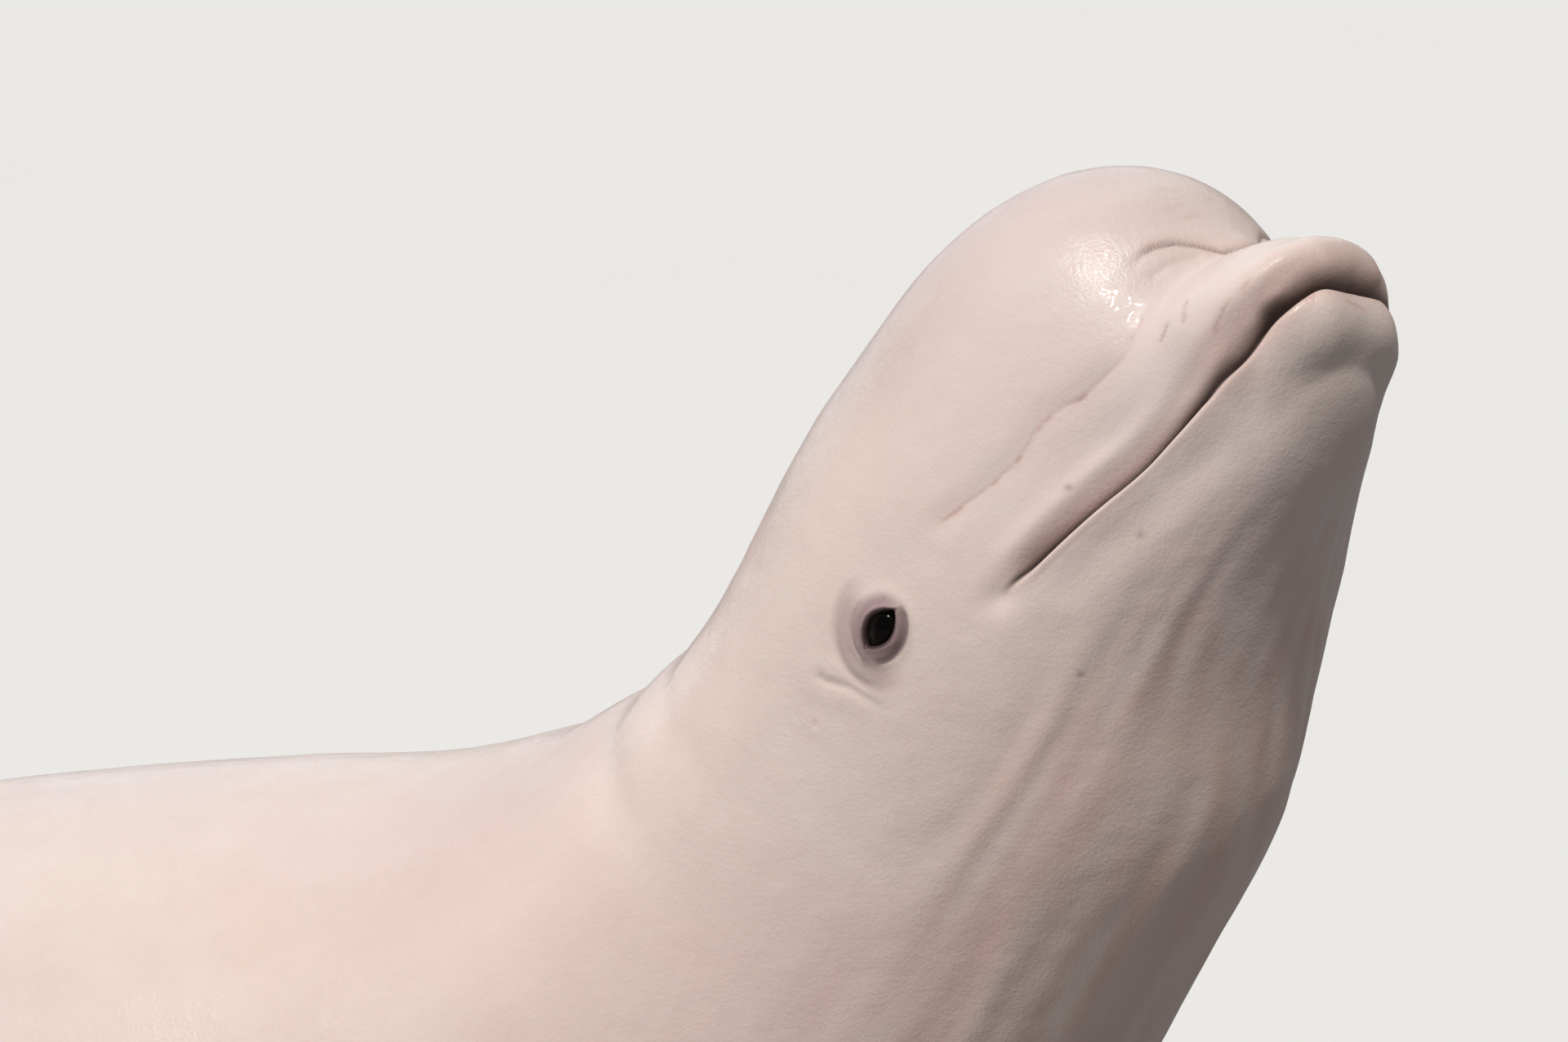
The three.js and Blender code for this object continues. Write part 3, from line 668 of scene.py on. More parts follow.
def nape_relief(p, around):
    """Folds across the nape, where the head is bent up."""
    high = np.sin(around)
    drift = 16 * noise(p * [0, 1, 1], 110, 21)
    h = np.zeros(p.shape[:-1])
    for station, depth, width, lean in NAPE_FOLDS:
        far = -p[..., 0] - station - drift - lean * (1 - np.clip(high, 0, 1))
        h += groove(far, depth, width) * smooth(0.1, 0.9, high) * (0.7 + 0.5 * noise(p, 90, station))
    return h


def ridge_relief(p):
    """The low knobbed ridge that a beluga has in place of a back fin."""
    s = -p[..., 0]
    t = np.clip((s - RIDGE["start"]) / (RIDGE["end"] - RIDGE["start"]), 0, 1)
    knobs = 1 + 0.12 * np.sin(s / 17) + 0.10 * noise(p * [1, 0.1, 0.1], 23, 8)
    crest = RIDGE["height"] * np.sin(math.pi * t) ** 0.7 * knobs
    return crest * hump(np.abs(p[..., 1]), RIDGE["half_width"], 1.5) * (p[..., 2] > 0)


def belly_relief(p, around):
    """Two soft folds along the belly, the navel and the slits behind it."""
    s, y, low = -p[..., 0], p[..., 1], p[..., 2] < 0
    under = smooth(1000, 1500, s) * (1 - smooth(2300, 2800, s)) * smooth(0.6, 0.9, -np.sin(around))
    h = np.zeros(s.shape)
    for side in (-95, 95):
        h += 6 * under * (hump(y - side, 34) - 0.8 * hump(y - 0.25 * side, 40))
    far = np.hypot(s - NAVEL, y * 1.6)
    h += (groove(far, 5, 11) + 1.5 * hump(far - 20, 9)) * low
    for station, half_length, depth, rim in SLITS:
        far = np.hypot(np.maximum(0, np.abs(s - station) - half_length), y)
        h += (groove(far, depth, 5) + rim * hump(far - 14, 9)) * low
    return h


def blubber_relief(p):
    """Soft unevenness, broad on the trunk and fine on the head."""
    s = -p[..., 0]
    trunk = smooth(420, 900, s)
    h = 2.6 * trunk * (1 - smooth(3000, 3600, s)) * noise(p, 170, 3) + 1.1 * trunk * noise(p, 60, 4)
    return h + 0.45 * (1 - trunk) * noise(p, 46, 6) + 0.22 * noise(p, 15, 7)


def body_grid():
    """The body's skin as a grid of points of the straight whale, folds included."""
    station, swing = ring_places()
    around = around_angles()
    reach = fine_reach(station, swing, around)
    start, way = ray(*np.broadcast_arrays(station[:, None], swing[:, None], around[None, :]))
    front = slice(0, np.searchsorted(station, 340))
    plain = start + reach[..., None] * way
    reach[front] = relax(reach[front], plain[front], 1)
    plain = start + reach[..., None] * way
    reach[front] += mouth_pull(plain[front])
    p = start + reach[..., None] * way
    normal = grid_normals(p)
    turn = np.broadcast_to(around[None, :], p.shape[:-1])
    h = nape_relief(p, turn) + ridge_relief(p) + belly_relief(p, turn) + blubber_relief(p)
    head = station < 760
    h[head] += throat_relief(p[head], turn[head]) + blowhole_relief(p[head])
    face = station < 420
    q = fold_sides(p[face])
    h[face] += face_relief(q, p[face]) + eye_relief(q)
    p = p + h[..., None] * normal
    return p, plain, p[0].mean(axis=0), p[-1].mean(axis=0)


# Fins

def fin_height(thick, angle):
    """Height of a fin's section, which is fuller at its leading edge."""
    return thick / 2 * np.sin(angle) * (0.62 + 0.38 * np.cos(angle))


def flipper_point(w, angle):
    """A point of the left flipper in its own axes: forward, out along the span, up."""
    f = FLIPPER
    lobe = f["broad"] * np.sin(math.pi * w ** 0.9) ** 1.2
    flare = 46 * np.exp(-w / 0.07)
    chord = (f["chord"] + lobe) * np.sqrt(np.clip(1 - w ** 5, 0, 1)) + flare
    thick = 78 * (1 - w) ** 1.4 + 20 * (1 - w ** 6) + 0.5 * flare
    forward = -30 - 95 * w ** 1.5 + chord / 2 * np.cos(angle)
    fingers = 1.3 * np.sin(np.cos(angle) * 11) * smooth(0.12, 0.4, w) * (1 - smooth(0.75, 0.97, w))
    curl = 40 * w ** 3 + 14 * w ** 2 * np.cos(angle) ** 2
    up = fin_height(thick, angle) + fingers * np.sin(angle) + curl
    return np.stack(np.broadcast_arrays(forward, f["span"] * w, up), -1)


def flipper_place(p, side):
    """Puts a flipper on the flank: swept back, drooping and pitched."""
    f = FLIPPER
    droop, sweep, pitch = (math.radians(f[key]) for key in ("droop", "sweep", "pitch"))
    ahead = np.array([1.0, 0, 0])
    outward = np.array([0, math.cos(droop), -math.sin(droop)])
    span = outward * math.cos(sweep) - ahead * math.sin(sweep)
    level = outward * math.sin(sweep) + ahead * math.cos(sweep)
    forward = level * math.cos(pitch) + np.cross(level, span) * math.sin(pitch)
    up = np.cross(forward, span)
    q = np.array(f["root"], float) + p[..., 0:1] * forward + p[..., 1:2] * span + p[..., 2:3] * up
    i = f["station"] // SPINE_STEP
    return SPINE_CENTRE[i] + (q * [1, side, 1]) @ SPINE_FRAME[i].T


def fluke_point(v, angle):
    """A point of the flukes on the straight whale, v from the right tip at -1 to the left tip at 1."""
    f = FLUKE
    w = np.abs(v)
    chord = f["chord"] * (1 - 0.45 * w) * np.sqrt(np.clip(1 - w ** 4, 0, 1))
    middle = f["middle"] - f["sweep"] * w ** 1.5
    lead = middle + chord / 2
    trail = middle - chord / 2 - f["bulge"] * (1 - np.exp(-w / f["notch"])) * (1 - w ** 2)
    thick = 70 * (1 - w) ** 1.6 + 15 * np.sqrt(np.clip(1 - w ** 6, 0, 1))
    x = (lead + trail) / 2 + (lead - trail) / 2 * np.cos(angle)
    up = fin_height(thick, angle) + 30 * w ** 2
    return np.stack(np.broadcast_arrays(x, v * f["half_span"], up), -1)


# Meshes

def read(items, name, kind, width=1):
    """One property of all points, edges, corners or faces as an array."""
    values = np.empty(len(items) * width, kind)
    items.foreach_get(name, values)
    return values.reshape(-1, width) if width > 1 else values


def write(items, name, values, kind=np.float32):
    items.foreach_set(name, np.asarray(values, kind).ravel())


def turns(count):
    """Evenly spaced angles of a full turn."""
    return np.arange(count) / count * 2 * math.pi


def grid_faces(rows, columns):
    """Quads between the rings of a grid that wraps round."""
    i, j = np.meshgrid(np.arange(rows - 1), np.arange(columns), indexing="ij")
    k = (j + 1) % columns
    quads = np.stack([i * columns + j, i * columns + k, (i + 1) * columns + k, (i + 1) * columns + j], -1)
    return quads.reshape(-1, 4)


def closed_mesh(name, rings, first, last, flip=False):
    """A mesh over rings of points, closed at both ends by a point each, with a UV map for baking."""
    rows, columns = rings.shape[:2]
    points = np.concatenate([rings.reshape(-1, 3), [first, last]]) * MM
    quads = grid_faces(rows, columns)
    j = np.arange(columns)
    k = (j + 1) % columns
    top = np.full(columns, rows * columns)
    head = np.stack([top, k, j], -1)
    tail = np.stack([top + 1, (rows - 1) * columns + j, (rows - 1) * columns + k], -1)
    if flip:
        quads, head, tail = quads[:, ::-1], head[:, ::-1], tail[:, ::-1]
    corners = np.concatenate([quads.ravel(), head.ravel(), tail.ravel()])
    sizes = np.concatenate([np.full(len(quads), 4), np.full(len(head) + len(tail), 3)])
    starts = np.concatenate([[0], np.cumsum(sizes)[:-1]])
    mesh = bpy.data.meshes.new(name)
    mesh.vertices.add(len(points))
    write(mesh.vertices, "co", points)
    mesh.loops.add(len(corners))
    write(mesh.loops, "vertex_index", corners, np.int32)
    mesh.polygons.add(len(sizes))
    write(mesh.polygons, "loop_start", starts, np.int32)
    write(mesh.polygons, "loop_total", sizes, np.int32)
    mesh.update(calc_edges=True)
    along = np.concatenate([np.repeat(np.arange(rows), columns) / (rows - 1), [0, 1]])
    across = np.where(corners < rows * columns, corners % columns, 0) / columns
    at_seam = np.add.reduceat((corners % columns == columns - 1).astype(int), starts)
    over = np.repeat(at_seam > 0, sizes) & (across < 0.25)
    layer = mesh.uv_layers.new(name="OFBake")
    write(layer.data, "uv", np.stack([across + over, along[corners]], -1))
    write(mesh.polygons, "use_smooth", np.ones(len(sizes)), bool)
    mesh.validate()
    return mesh


def squeeze_uv(mesh, low, high):
    """Moves a UV map into one rectangle of the square."""
    data = mesh.uv_layers["OFBake"].data
    uv = read(data, "uv", np.float32, 2) * (np.array(high) - np.array(low)) + np.array(low)
    write(data, "uv", uv)


def add_attribute(mesh, name, values):
    write(mesh.attributes.new(name, "FLOAT", "POINT").data, "value", values)


def add_object(mesh, material=None):
    if material:
        mesh.materials.append(material)
    piece = bpy.data.objects.new(mesh.name, mesh)
    bpy.context.scene.collection.objects.link(piece)
    return piece


# Colour masks of the skin, painted shade among them, from 0 to 1

def mouth_tints_and_shade(p):
    """Pink of the lips, and painted shade along the line between them and where they part at the tip."""
    s = -p[..., 0]
    height = mouth_height(p)
    ends = 1 - smooth(MOUTH_END - 10, MOUTH_END + 10, s)
    tip = 1 - smooth(25, 110, s)
    gap = lip_gap(p)
    pink = 0.6 * hump(height - 4, 8 + 6 * tip) * (1 + 0.5 * tip) * ends
    # Painted shade along the mouth's line, wider where the lips part
    dark = 0.95 * hump(height - 0.6 - 1.5 * gap, 2.2 + 2.6 * gap) * ends
    return pink, dark


def fold_tints_and_shade(q, p):
    """Pink of the face's folds, scratches and marks, dark of its scratches and marks, and painted shade in
    its folds and pits.
    """
    far, where = line_distance(q, LIP_FOLD)
    flake = smooth(-0.1, 0.5, noise(q, 7, 31)) * smooth(0.04, 0.2, where)
    pink = 0.9 * hump(far, 2.0) * (0.35 + 0.65 * flake)
    # Painted shade in the lip fold, broken where the skin flakes
    dark = 0.2 * hump(far, 1.0) * flake
    far, where = line_distance(q, MELON_FOLD)
    fade = 1 - smooth(0.72, 1.0, where)
    pink += 0.4 * hump(far, 5) * fade
    # Painted shade in the melon's fold
    dark += 0.5 * hump(far, 1.3) * fade
    far, where = line_distance(q, CHEEK_FOLD)
    # Painted shade in the cheek's fold
    dark += 0.2 * hump(far, 1.8) * (1 - where)
    for line in MELON_LINES:
        far, where = line_distance(p, line)
        pink += 0.4 * hump(far, 2.4) * np.sin(math.pi * np.clip(where, 0.02, 0.98))
    for line in LIP_SCRATCHES:
        far, _ = line_distance(p, line)
        pink += 0.35 * hump(far, 2.4)
        dark += 0.28 * hump(far, 1.1)
    for line in JAW_MARKS:
        far, _ = line_distance(p, line)
        pink += 0.8 * hump(far, 2.4)
        dark += 0.2 * hump(far, 1.2)
    for pit in CHEEK_PITS:
        # Painted shade in the pits
        dark += 0.3 * hump(point_distance(p, pit), 2.6)
    return pink, dark


def eye_tints_and_shade(q):
    """Mauve of the lids, their dark margins, painted shade on the slit's walls and painted shadow in the
    fold below it.
    """
    u, v, far = eye_coordinates(q)
    ring = np.hypot(u, v)
    inside = eye_opening(u, v)
    way = np.degrees(np.arctan2(v, u))
    below = smooth(0, -30, way) * smooth(-165, -130, way)
    behind = np.clip(smooth(60, 110, way) + smooth(-100, -150, way), 0, 1)
    mauve = 0.95 * hump(ring, 22.5, 8) + 0.5 * behind * hump(ring - 30, 9, 4)
    # Dark lid margins, and painted shade on the slit's walls
    dark = 0.86 * smooth(-3.7, -2.0, inside) + 0.14 * smooth(-1.2, 0.2, inside)
    # Painted shadow in the fold below the lower lid
    dark += 0.42 * below * hump(ring - 20, 2.2)
    close = far < 90
    return mauve * close, dark * close


def skin_masks(p):
    """How pink, mauve, dark and wet each point of the straight whale is; the dark is mostly painted shade.
    """
    s = -p[..., 0]
    front = 1 - smooth(500, 900, s)
    throat = smooth(-100, -170, p[..., 2]) * front
    pink = throat * (0.3 + 0.6 * noise(p * [0.12, 1, 1], 13, 41))
    start, end = RIDGE["start"], RIDGE["end"]
    crest = smooth(start, start + 120, s) * (1 - smooth(end - 120, end, s)) * (p[..., 2] > 0)
    mauve = 0.35 * smooth(60, 150, p[..., 2]) * front + 0.35 * crest * hump(p[..., 1], 20)
    # Painted shade in the blowhole's slit
    dark = 0.85 * hump(blowhole_distance(p), 2.6) * (p[..., 2] > 40)
    wet = smooth(20, 120, p[..., 2]) * (0.6 + 0.4 * noise(p * [0.25, 1, 1], 30, 51))
    face = s < 460
    q = fold_sides(p[face])
    lip_pink, lip_line_shade = mouth_tints_and_shade(p[face])
    fold_pink, fold_shade_and_scars = fold_tints_and_shade(q, p[face])
    lid_mauve, lid_shade_and_margins = eye_tints_and_shade(q)
    pink[face] += lip_pink + fold_pink
    mauve[face] += lid_mauve
    dark[face] += lip_line_shade + fold_shade_and_scars + lid_shade_and_margins
    return [np.clip(mask, 0, 1) for mask in (pink, mauve, dark, wet)]


MASKS = ("pink", "mauve", "dark", "wet")


def mark_skin(mesh, masks):
    """Keeps the masks with the mesh, for its material."""
    for name, mask in zip(MASKS, masks):
        add_attribute(mesh, name, mask)


# The skin

def body_piece():
    """The body without its fins."""
    p, plain, tip, end = body_grid()
    mesh = closed_mesh("body", bend(p), bend(tip), bend(end), flip=True)
    squeeze_uv(mesh, (0.0, 0.0), (0.84, 1.0))
    mark_skin(mesh, skin_masks(np.concatenate([plain.reshape(-1, 3), [tip, end]])))
    return add_object(mesh)


def fin_mesh(name, rings, first, last, flip, low, high, edge):
    """A fin's mesh: its edges are rosier and more mauve than its faces."""
    mesh = closed_mesh(name, rings, first, last, flip)
    squeeze_uv(mesh, low, high)
    mark_skin(mesh, [0.12 + 0.3 * edge, 0.15 + 0.75 * edge, 0 * edge, 0.4 + 0 * edge])
    return add_object(mesh)


def fin_spacing(count):
    """Places along a fin from 0 to 1, closer together at its tip."""
    return 1 - (1 - np.linspace(0, 1, count)) ** 1.5


def flipper_piece(side):
    """The left flipper at side 1, the right one at -1."""
    rows, columns = ((90, 128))
    w = fin_spacing(rows)[:-1]
    angle = turns(columns)
    upward = np.array(math.pi / 2)
    rings = flipper_place(flipper_point(w[:, None], angle[None, :]), side)
    first = flipper_place(flipper_point(np.array(0.0), upward) * [1, 1, 0], side)
    last = flipper_place(flipper_point(np.array(1.0), upward), side)
    rim = np.abs(np.cos(angle)) ** 10
    edge = np.maximum(rim[None, :] * smooth(0.1, 0.5, w)[:, None], smooth(0.85, 1, w)[:, None])
    edge = np.concatenate([edge.ravel(), [0, 1]])
    name, low = ("fin_left", 0.0) if side > 0 else ("fin_right", 0.34)
    return fin_mesh(name, rings, first, last, side > 0, (0.85, low), (1.0, low + 0.32), edge)


def fluke_piece():
    """Both flukes as one fin from tip to tip."""
    rows, columns = ((161, 112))
    half = fin_spacing((rows + 1) // 2)
    v = np.concatenate([-half[::-1], half[1:]])[1:-1]
    angle = turns(columns)
    rings = bend(fluke_point(v[:, None], angle[None, :]))
    first = bend(fluke_point(np.array(-1.0), np.array(math.pi / 2)))
    last = bend(fluke_point(np.array(1.0), np.array(math.pi / 2)))
    trailing = np.clip(-np.cos(angle), 0, 1) ** 6
    edge = np.maximum(trailing[None, :], smooth(0.9, 1, np.abs(v))[:, None])
    edge = np.concatenate([edge.ravel(), [1, 1]])
    return fin_mesh("fin_tail", rings, first, last, True, (0.85, 0.68), (1.0, 1.0), edge)


def join_fins(body, fins):
    """Makes one closed skin of the body and its fins."""
    for fin in fins:
        change = body.modifiers.new("join", "BOOLEAN")
        change.operation = "UNION"
        change.solver = "MANIFOLD"
        change.object = fin
    depsgraph = bpy.context.evaluated_depsgraph_get()
    joined = bpy.data.meshes.new_from_object(body.evaluated_get(depsgraph), depsgraph=depsgraph)
    joined.name = "skin"
    skin = add_object(joined)
    for old in [body] + fins:
        bpy.data.objects.remove(old)
    return skin


def vertex_array(mesh):
    return read(mesh.vertices, "co", np.float32, 3).astype(float)


def tree_of(mesh, keep):
    """A search tree of the faces whose first corner is kept."""
    co = vertex_array(mesh)
    start = read(mesh.polygons, "loop_start", np.int32)
    total = read(mesh.polygons, "loop_total", np.int32)
    corners = read(mesh.loops, "vertex_index", np.int32)
    chosen = np.nonzero(keep(co)[corners[start]])[0]
    faces = [corners[start[i]:start[i] + total[i]].tolist() for i in chosen]
    used = np.unique(np.concatenate([np.array(f) for f in faces]))
    place = np.full(len(co), -1)
    place[used] = np.arange(len(used))
    return BVHTree.FromPolygons(co[used].tolist(), [place[f].tolist() for f in faces])


def near_box(mesh, margin):
    """A test of which points lie in a mesh's box or near it."""
    co = vertex_array(mesh)
    low, high = co.min(0) - margin, co.max(0) + margin
    return lambda p: np.all((p > low) & (p < high), axis=1)


def joint_weights(skin_co, body_tree, fin_tree, inside, width):
    """1 on the line where a fin meets the body, falling to 0 away from it."""
    weight = np.zeros(len(skin_co))
    for i in np.nonzero(inside(skin_co))[0]:
        to_fin = fin_tree.find_nearest(skin_co[i], width)[3]
        if to_fin is None:
            continue
        to_body = body_tree.find_nearest(skin_co[i], width)[3]
        if to_body is None:
            continue
        weight[i] = 1 - max(to_fin, to_body) / width
    return weight


def soften(mesh, weight, rounds):
    """Averages weighted points with their neighbours, which rounds a joint like living flesh."""
    edges = read(mesh.edges, "vertices", np.int32, 2)
    edges = edges[(weight[edges] > 0).any(axis=1)]
    co = vertex_array(mesh)
    count = np.bincount(edges.ravel(), minlength=len(co))
    move = (weight * 0.9)[:, None]
    for _ in range(rounds):
        total = np.zeros_like(co)
        for axis in range(3):
            total[:, axis] += np.bincount(edges[:, 0], co[edges[:, 1], axis], len(co))
            total[:, axis] += np.bincount(edges[:, 1], co[edges[:, 0], axis], len(co))
        mean = np.where(count[:, None] > 0, total / np.maximum(count, 1)[:, None], co)
        co = co + (mean - co) * move
    write(mesh.vertices, "co", co)
    mesh.update()


def skin_piece(material):
    """The body and its fins as one skin, with the fins' roots rounded off."""
    body = body_piece()
    fins = [flipper_piece(1), flipper_piece(-1), fluke_piece()]
    joints = []
    for fin in fins:
        inside = near_box(fin.data, ROOT_WIDTH)
        whole = tree_of(fin.data, lambda p: np.ones(len(p), bool))
        joints.append((tree_of(body.data, inside), whole, inside))
    skin = join_fins(body, fins)
    co = vertex_array(skin.data)
    weight = np.zeros(len(co))
    for body_tree, fin_tree, inside in joints:
        weight = np.maximum(weight, joint_weights(co, body_tree, fin_tree, inside, ROOT_WIDTH))
    soften(skin.data, smooth(0, 0.6, weight), 30)
    write(skin.data.polygons, "use_smooth", np.ones(len(skin.data.polygons)), bool)
    skin.data.materials.clear()
    skin.data.materials.append(material)
    return skin


# Materials

class Nodes:
    """Short names for building one material's nodes."""

    def __init__(self, name):
        self.material = bpy.data.materials.new(name)
        self.material.use_nodes = True
        self.tree = self.material.node_tree
        self.shader = self.tree.nodes["Principled BSDF"]

    def add(self, kind, **values):
        node = self.tree.nodes.new(kind)
        for key, value in values.items():
            if key in node.inputs:
                node.inputs[key].default_value = value
            else:
                setattr(node, key, value)
        return node

    def link(self, output, target):
        self.tree.links.new(output, target)

    def noise(self, scale, detail=3.0, rough=0.5, stretch=None):
        texture = self.add("ShaderNodeTexNoise", Scale=scale, Detail=detail, Roughness=rough)
        source = self.add("ShaderNodeTexCoord").outputs["Object"]
        if stretch:
            mapping = self.add("ShaderNodeMapping")
            mapping.inputs["Scale"].default_value = stretch
            self.link(source, mapping.inputs["Vector"])
            source = mapping.outputs["Vector"]
        self.link(source, texture.inputs["Vector"])
        return texture.outputs["Fac"]

    def mask(self, name):
        return self.add("ShaderNodeAttribute", attribute_name=name).outputs["Fac"]

    def ramp(self, fac, low, high, start=0.0, end=1.0):
        """Maps start..end of fac to low..high."""
        node = self.add("ShaderNodeMapRange")
        self.fill(node, {0: fac, 1: start, 2: end, 3: low, 4: high})
        return node.outputs["Result"]

    def fill(self, node, values):
        """Links a node's numbered sockets, or sets them to a number or a colour."""
        for number, value in values.items():
            socket = node.inputs[number]
            if isinstance(value, tuple):
                socket.default_value = (*value, 1)
            elif isinstance(value, (float, int)):
                socket.default_value = value
            else:
                self.link(value, socket)

    def mix(self, fac, a, b):
        node = self.add("ShaderNodeMix", data_type="RGBA")
        self.fill(node, {0: fac, 6: a, 7: b})
        return node.outputs[2]

    def maths(self, operation, a, b):
        node = self.add("ShaderNodeMath", operation=operation)
        self.fill(node, {0: a, 1: b})
        return node.outputs[0]

    def bump(self, height, strength, distance):
        node = self.add("ShaderNodeBump", Strength=strength, Distance=distance)
        self.link(height, node.inputs["Height"])
        self.link(node.outputs["Normal"], self.shader.inputs["Normal"])

    def set(self, **values):
        for key, value in values.items():
            self.shader.inputs[key.replace("_", " ")].default_value = value


SKIN_BEIGE = (0.72, 0.60, 0.535)
SKIN_ROSE = (0.70, 0.545, 0.49)
SKIN_COOL = (0.66, 0.585, 0.575)
SKIN_MOTTLE = (0.62, 0.47, 0.41)
LIP_PINK = (0.60, 0.36, 0.30)
LID_MAUVE = (0.29, 0.195, 0.205)
# Painted shade of creases, pits and slits, and the dark of scratches and marks
SHADE_AND_SCAR_DARK = (0.035, 0.022, 0.020)


def skin_material():
    """Pale wet hide: beige and rose patches, pink folds, mauve lids, painted crease shade, fine pores and
    a wet film.
    """
    n = Nodes("skin")
    patches = n.ramp(n.noise(4.5, 4.0, 0.55), 0, 1, 0.36, 0.66)
    colour = n.mix(patches, SKIN_BEIGE, SKIN_ROSE)
    cool = n.ramp(n.noise(2.2, 3.0, 0.5), 0, 0.75, 0.45, 0.75)
    colour = n.mix(cool, colour, SKIN_COOL)
    mottle = n.ramp(n.noise(38.0, 5.0, 0.65), 0, 0.22, 0.45, 0.8)
    colour = n.mix(mottle, colour, SKIN_MOTTLE)
    colour = n.mix(n.mask("mauve"), colour, LID_MAUVE)
    colour = n.mix(n.maths("MULTIPLY", n.mask("pink"), 0.55), colour, LIP_PINK)
    # The dark mask paints shade into creases, pits and slits, and darkens scratches and marks
    colour = n.mix(n.mask("dark"), colour, SHADE_AND_SCAR_DARK)
    n.link(colour, n.shader.inputs["Base Color"])
    streaks = n.noise(26.0, 4.0, 0.6, stretch=(1, 1, 0.5))
    dry = n.ramp(streaks, 0.30, 0.52, 0.35, 0.65)
    gloss = n.maths("SUBTRACT", dry, n.maths("MULTIPLY", n.mask("wet"), 0.10))
    n.link(gloss, n.shader.inputs["Roughness"])
    pores = n.maths("ADD", n.noise(420.0, 2.0, 0.6), n.maths("MULTIPLY", n.noise(90.0, 3.0, 0.6), 1.6))
    n.bump(pores, 0.32, 0.0009)
    film = n.add("ShaderNodeBump", Strength=0.9, Distance=0.0016)
    n.link(n.noise(62.0, 2.0, 0.5), film.inputs["Height"])
    n.link(film.outputs["Normal"], n.shader.inputs["Coat Normal"])
    n.set(Subsurface_Weight=0.12, Subsurface_Scale=0.012, Specular_IOR_Level=0.3)
    n.set(Coat_Weight=0.14, Coat_Roughness=0.05)
    n.shader.inputs["Subsurface Radius"].default_value = (1.0, 0.42, 0.28)
    return n.material


def eye_material():
    """A near-black wet eye: a dark brown iris round a black pupil and a greyer rim."""
    n = Nodes("eye")
    rim = n.mask("rim")
    fibres = n.ramp(n.noise(900.0, 4.0, 0.7), 0, 0.5, 0.4, 0.7)
    brown = n.mix(fibres, (0.004, 0.003, 0.0025), (0.010, 0.0065, 0.005))
    colour = n.mix(n.ramp(rim, 0, 1, 0.24, 0.34), (0.001, 0.001, 0.001), brown)
    colour = n.mix(n.ramp(rim, 0, 1, 0.60, 0.95), colour, (0.012, 0.010, 0.009))
    n.link(colour, n.shader.inputs["Base Color"])
    n.link(n.ramp(n.noise(300.0), 0.10, 0.18), n.shader.inputs["Roughness"])
    n.set(IOR=1.22)
    return n.material


def painted_material():
    """Warm grey painted base with a fine stipple and slightly darker handling marks."""
    n = Nodes("stand_paint")
    stipple = n.noise(520.0, 2.0, 0.6)
    wear = n.ramp(n.noise(7.0, 5.0, 0.6), 0, 0.35, 0.45, 0.75)
    colour = n.mix(wear, (0.20, 0.20, 0.205), (0.155, 0.155, 0.16))
    colour = n.mix(n.ramp(stipple, 0, 0.3, 0.4, 0.7), colour, (0.25, 0.25, 0.255))
    n.link(colour, n.shader.inputs["Base Color"])
    n.link(n.ramp(stipple, 0.42, 0.6), n.shader.inputs["Roughness"])
    n.bump(stipple, 0.3, 0.0006)
    return n.material


def steel_material():
    """Brushed steel: fine scratches round the rod."""
    n = Nodes("stand_steel")
    brushed = n.noise(60.0, 6.0, 0.7, stretch=(1, 1, 30))
    n.link(n.mix(brushed, (0.42, 0.43, 0.44), (0.58, 0.585, 0.59)), n.shader.inputs["Base Color"])
    n.link(n.ramp(brushed, 0.24, 0.42), n.shader.inputs["Roughness"])
    n.bump(brushed, 0.15, 0.0003)
    n.set(Metallic=1.0)
    return n.material


def rubber_material():
    """Dark rubber pads under the belly."""
    n = Nodes("stand_rubber")
    grain = n.noise(700.0, 3.0, 0.6)
    n.link(n.mix(grain, (0.018, 0.018, 0.018), (0.035, 0.034, 0.033)), n.shader.inputs["Base Color"])
    n.link(n.ramp(grain, 0.6, 0.85), n.shader.inputs["Roughness"])
    n.bump(grain, 0.35, 0.0005)
    return n.material


def floor_material():
    """Pale matt floor with faint clouds."""
    n = Nodes("studio_floor")
    cloud = n.noise(0.6, 2.0, 0.5)
    n.link(n.mix(cloud, (0.70, 0.70, 0.69), (0.74, 0.74, 0.73)), n.shader.inputs["Base Color"])
    n.set(Roughness=0.85)
    return n.material


# Eyes

def eye_piece(side, material):
    """An eyeball with a bulging cornea, seen between the lids."""
    skin, out, forward, up = eye_place(side)
    rows, columns = 48, 64
    tilt = np.linspace(0, math.pi, rows + 1)[1:-1]
    around = turns(columns)
    size = EYE["radius"] - EYE_GAP
    radius = (size + CORNEA * hump(np.degrees(tilt), 30, 4))[:, None]
    centre = skin - out * EYE["depth"]
    gaze = out + GAZE[0] * forward + GAZE[1] * up
    gaze /= np.linalg.norm(gaze)
    across = forward - (forward @ gaze) * gaze
    across /= np.linalg.norm(across)
    above = np.cross(gaze, across)
    ring = np.cos(around)[None, :, None] * across + np.sin(around)[None, :, None] * above
    way = np.sin(tilt)[:, None, None] * ring + np.cos(tilt)[:, None, None] * gaze
    points = centre + radius[..., None] * way
    first = centre + gaze * (size + CORNEA)
    last = centre - gaze * size
    name = "eye_ball_left" if side > 0 else "eye_ball_right"
    mesh = closed_mesh(name, bend(points), bend(first), bend(last), flip=True)
    rim = np.concatenate([np.repeat(np.degrees(tilt) / 60, columns), [0, 3]])
    add_attribute(mesh, "rim", np.clip(rim, 0, 1))
    return add_object(mesh, material)


# Stand

def circle(centre, radius, height, columns):
    """Points round a level circle."""
    around = turns(columns)
    x = centre[0] + radius * np.cos(around)
    y = centre[1] + radius * np.sin(around)
    return np.column_stack([x, y, np.full(columns, float(height))])


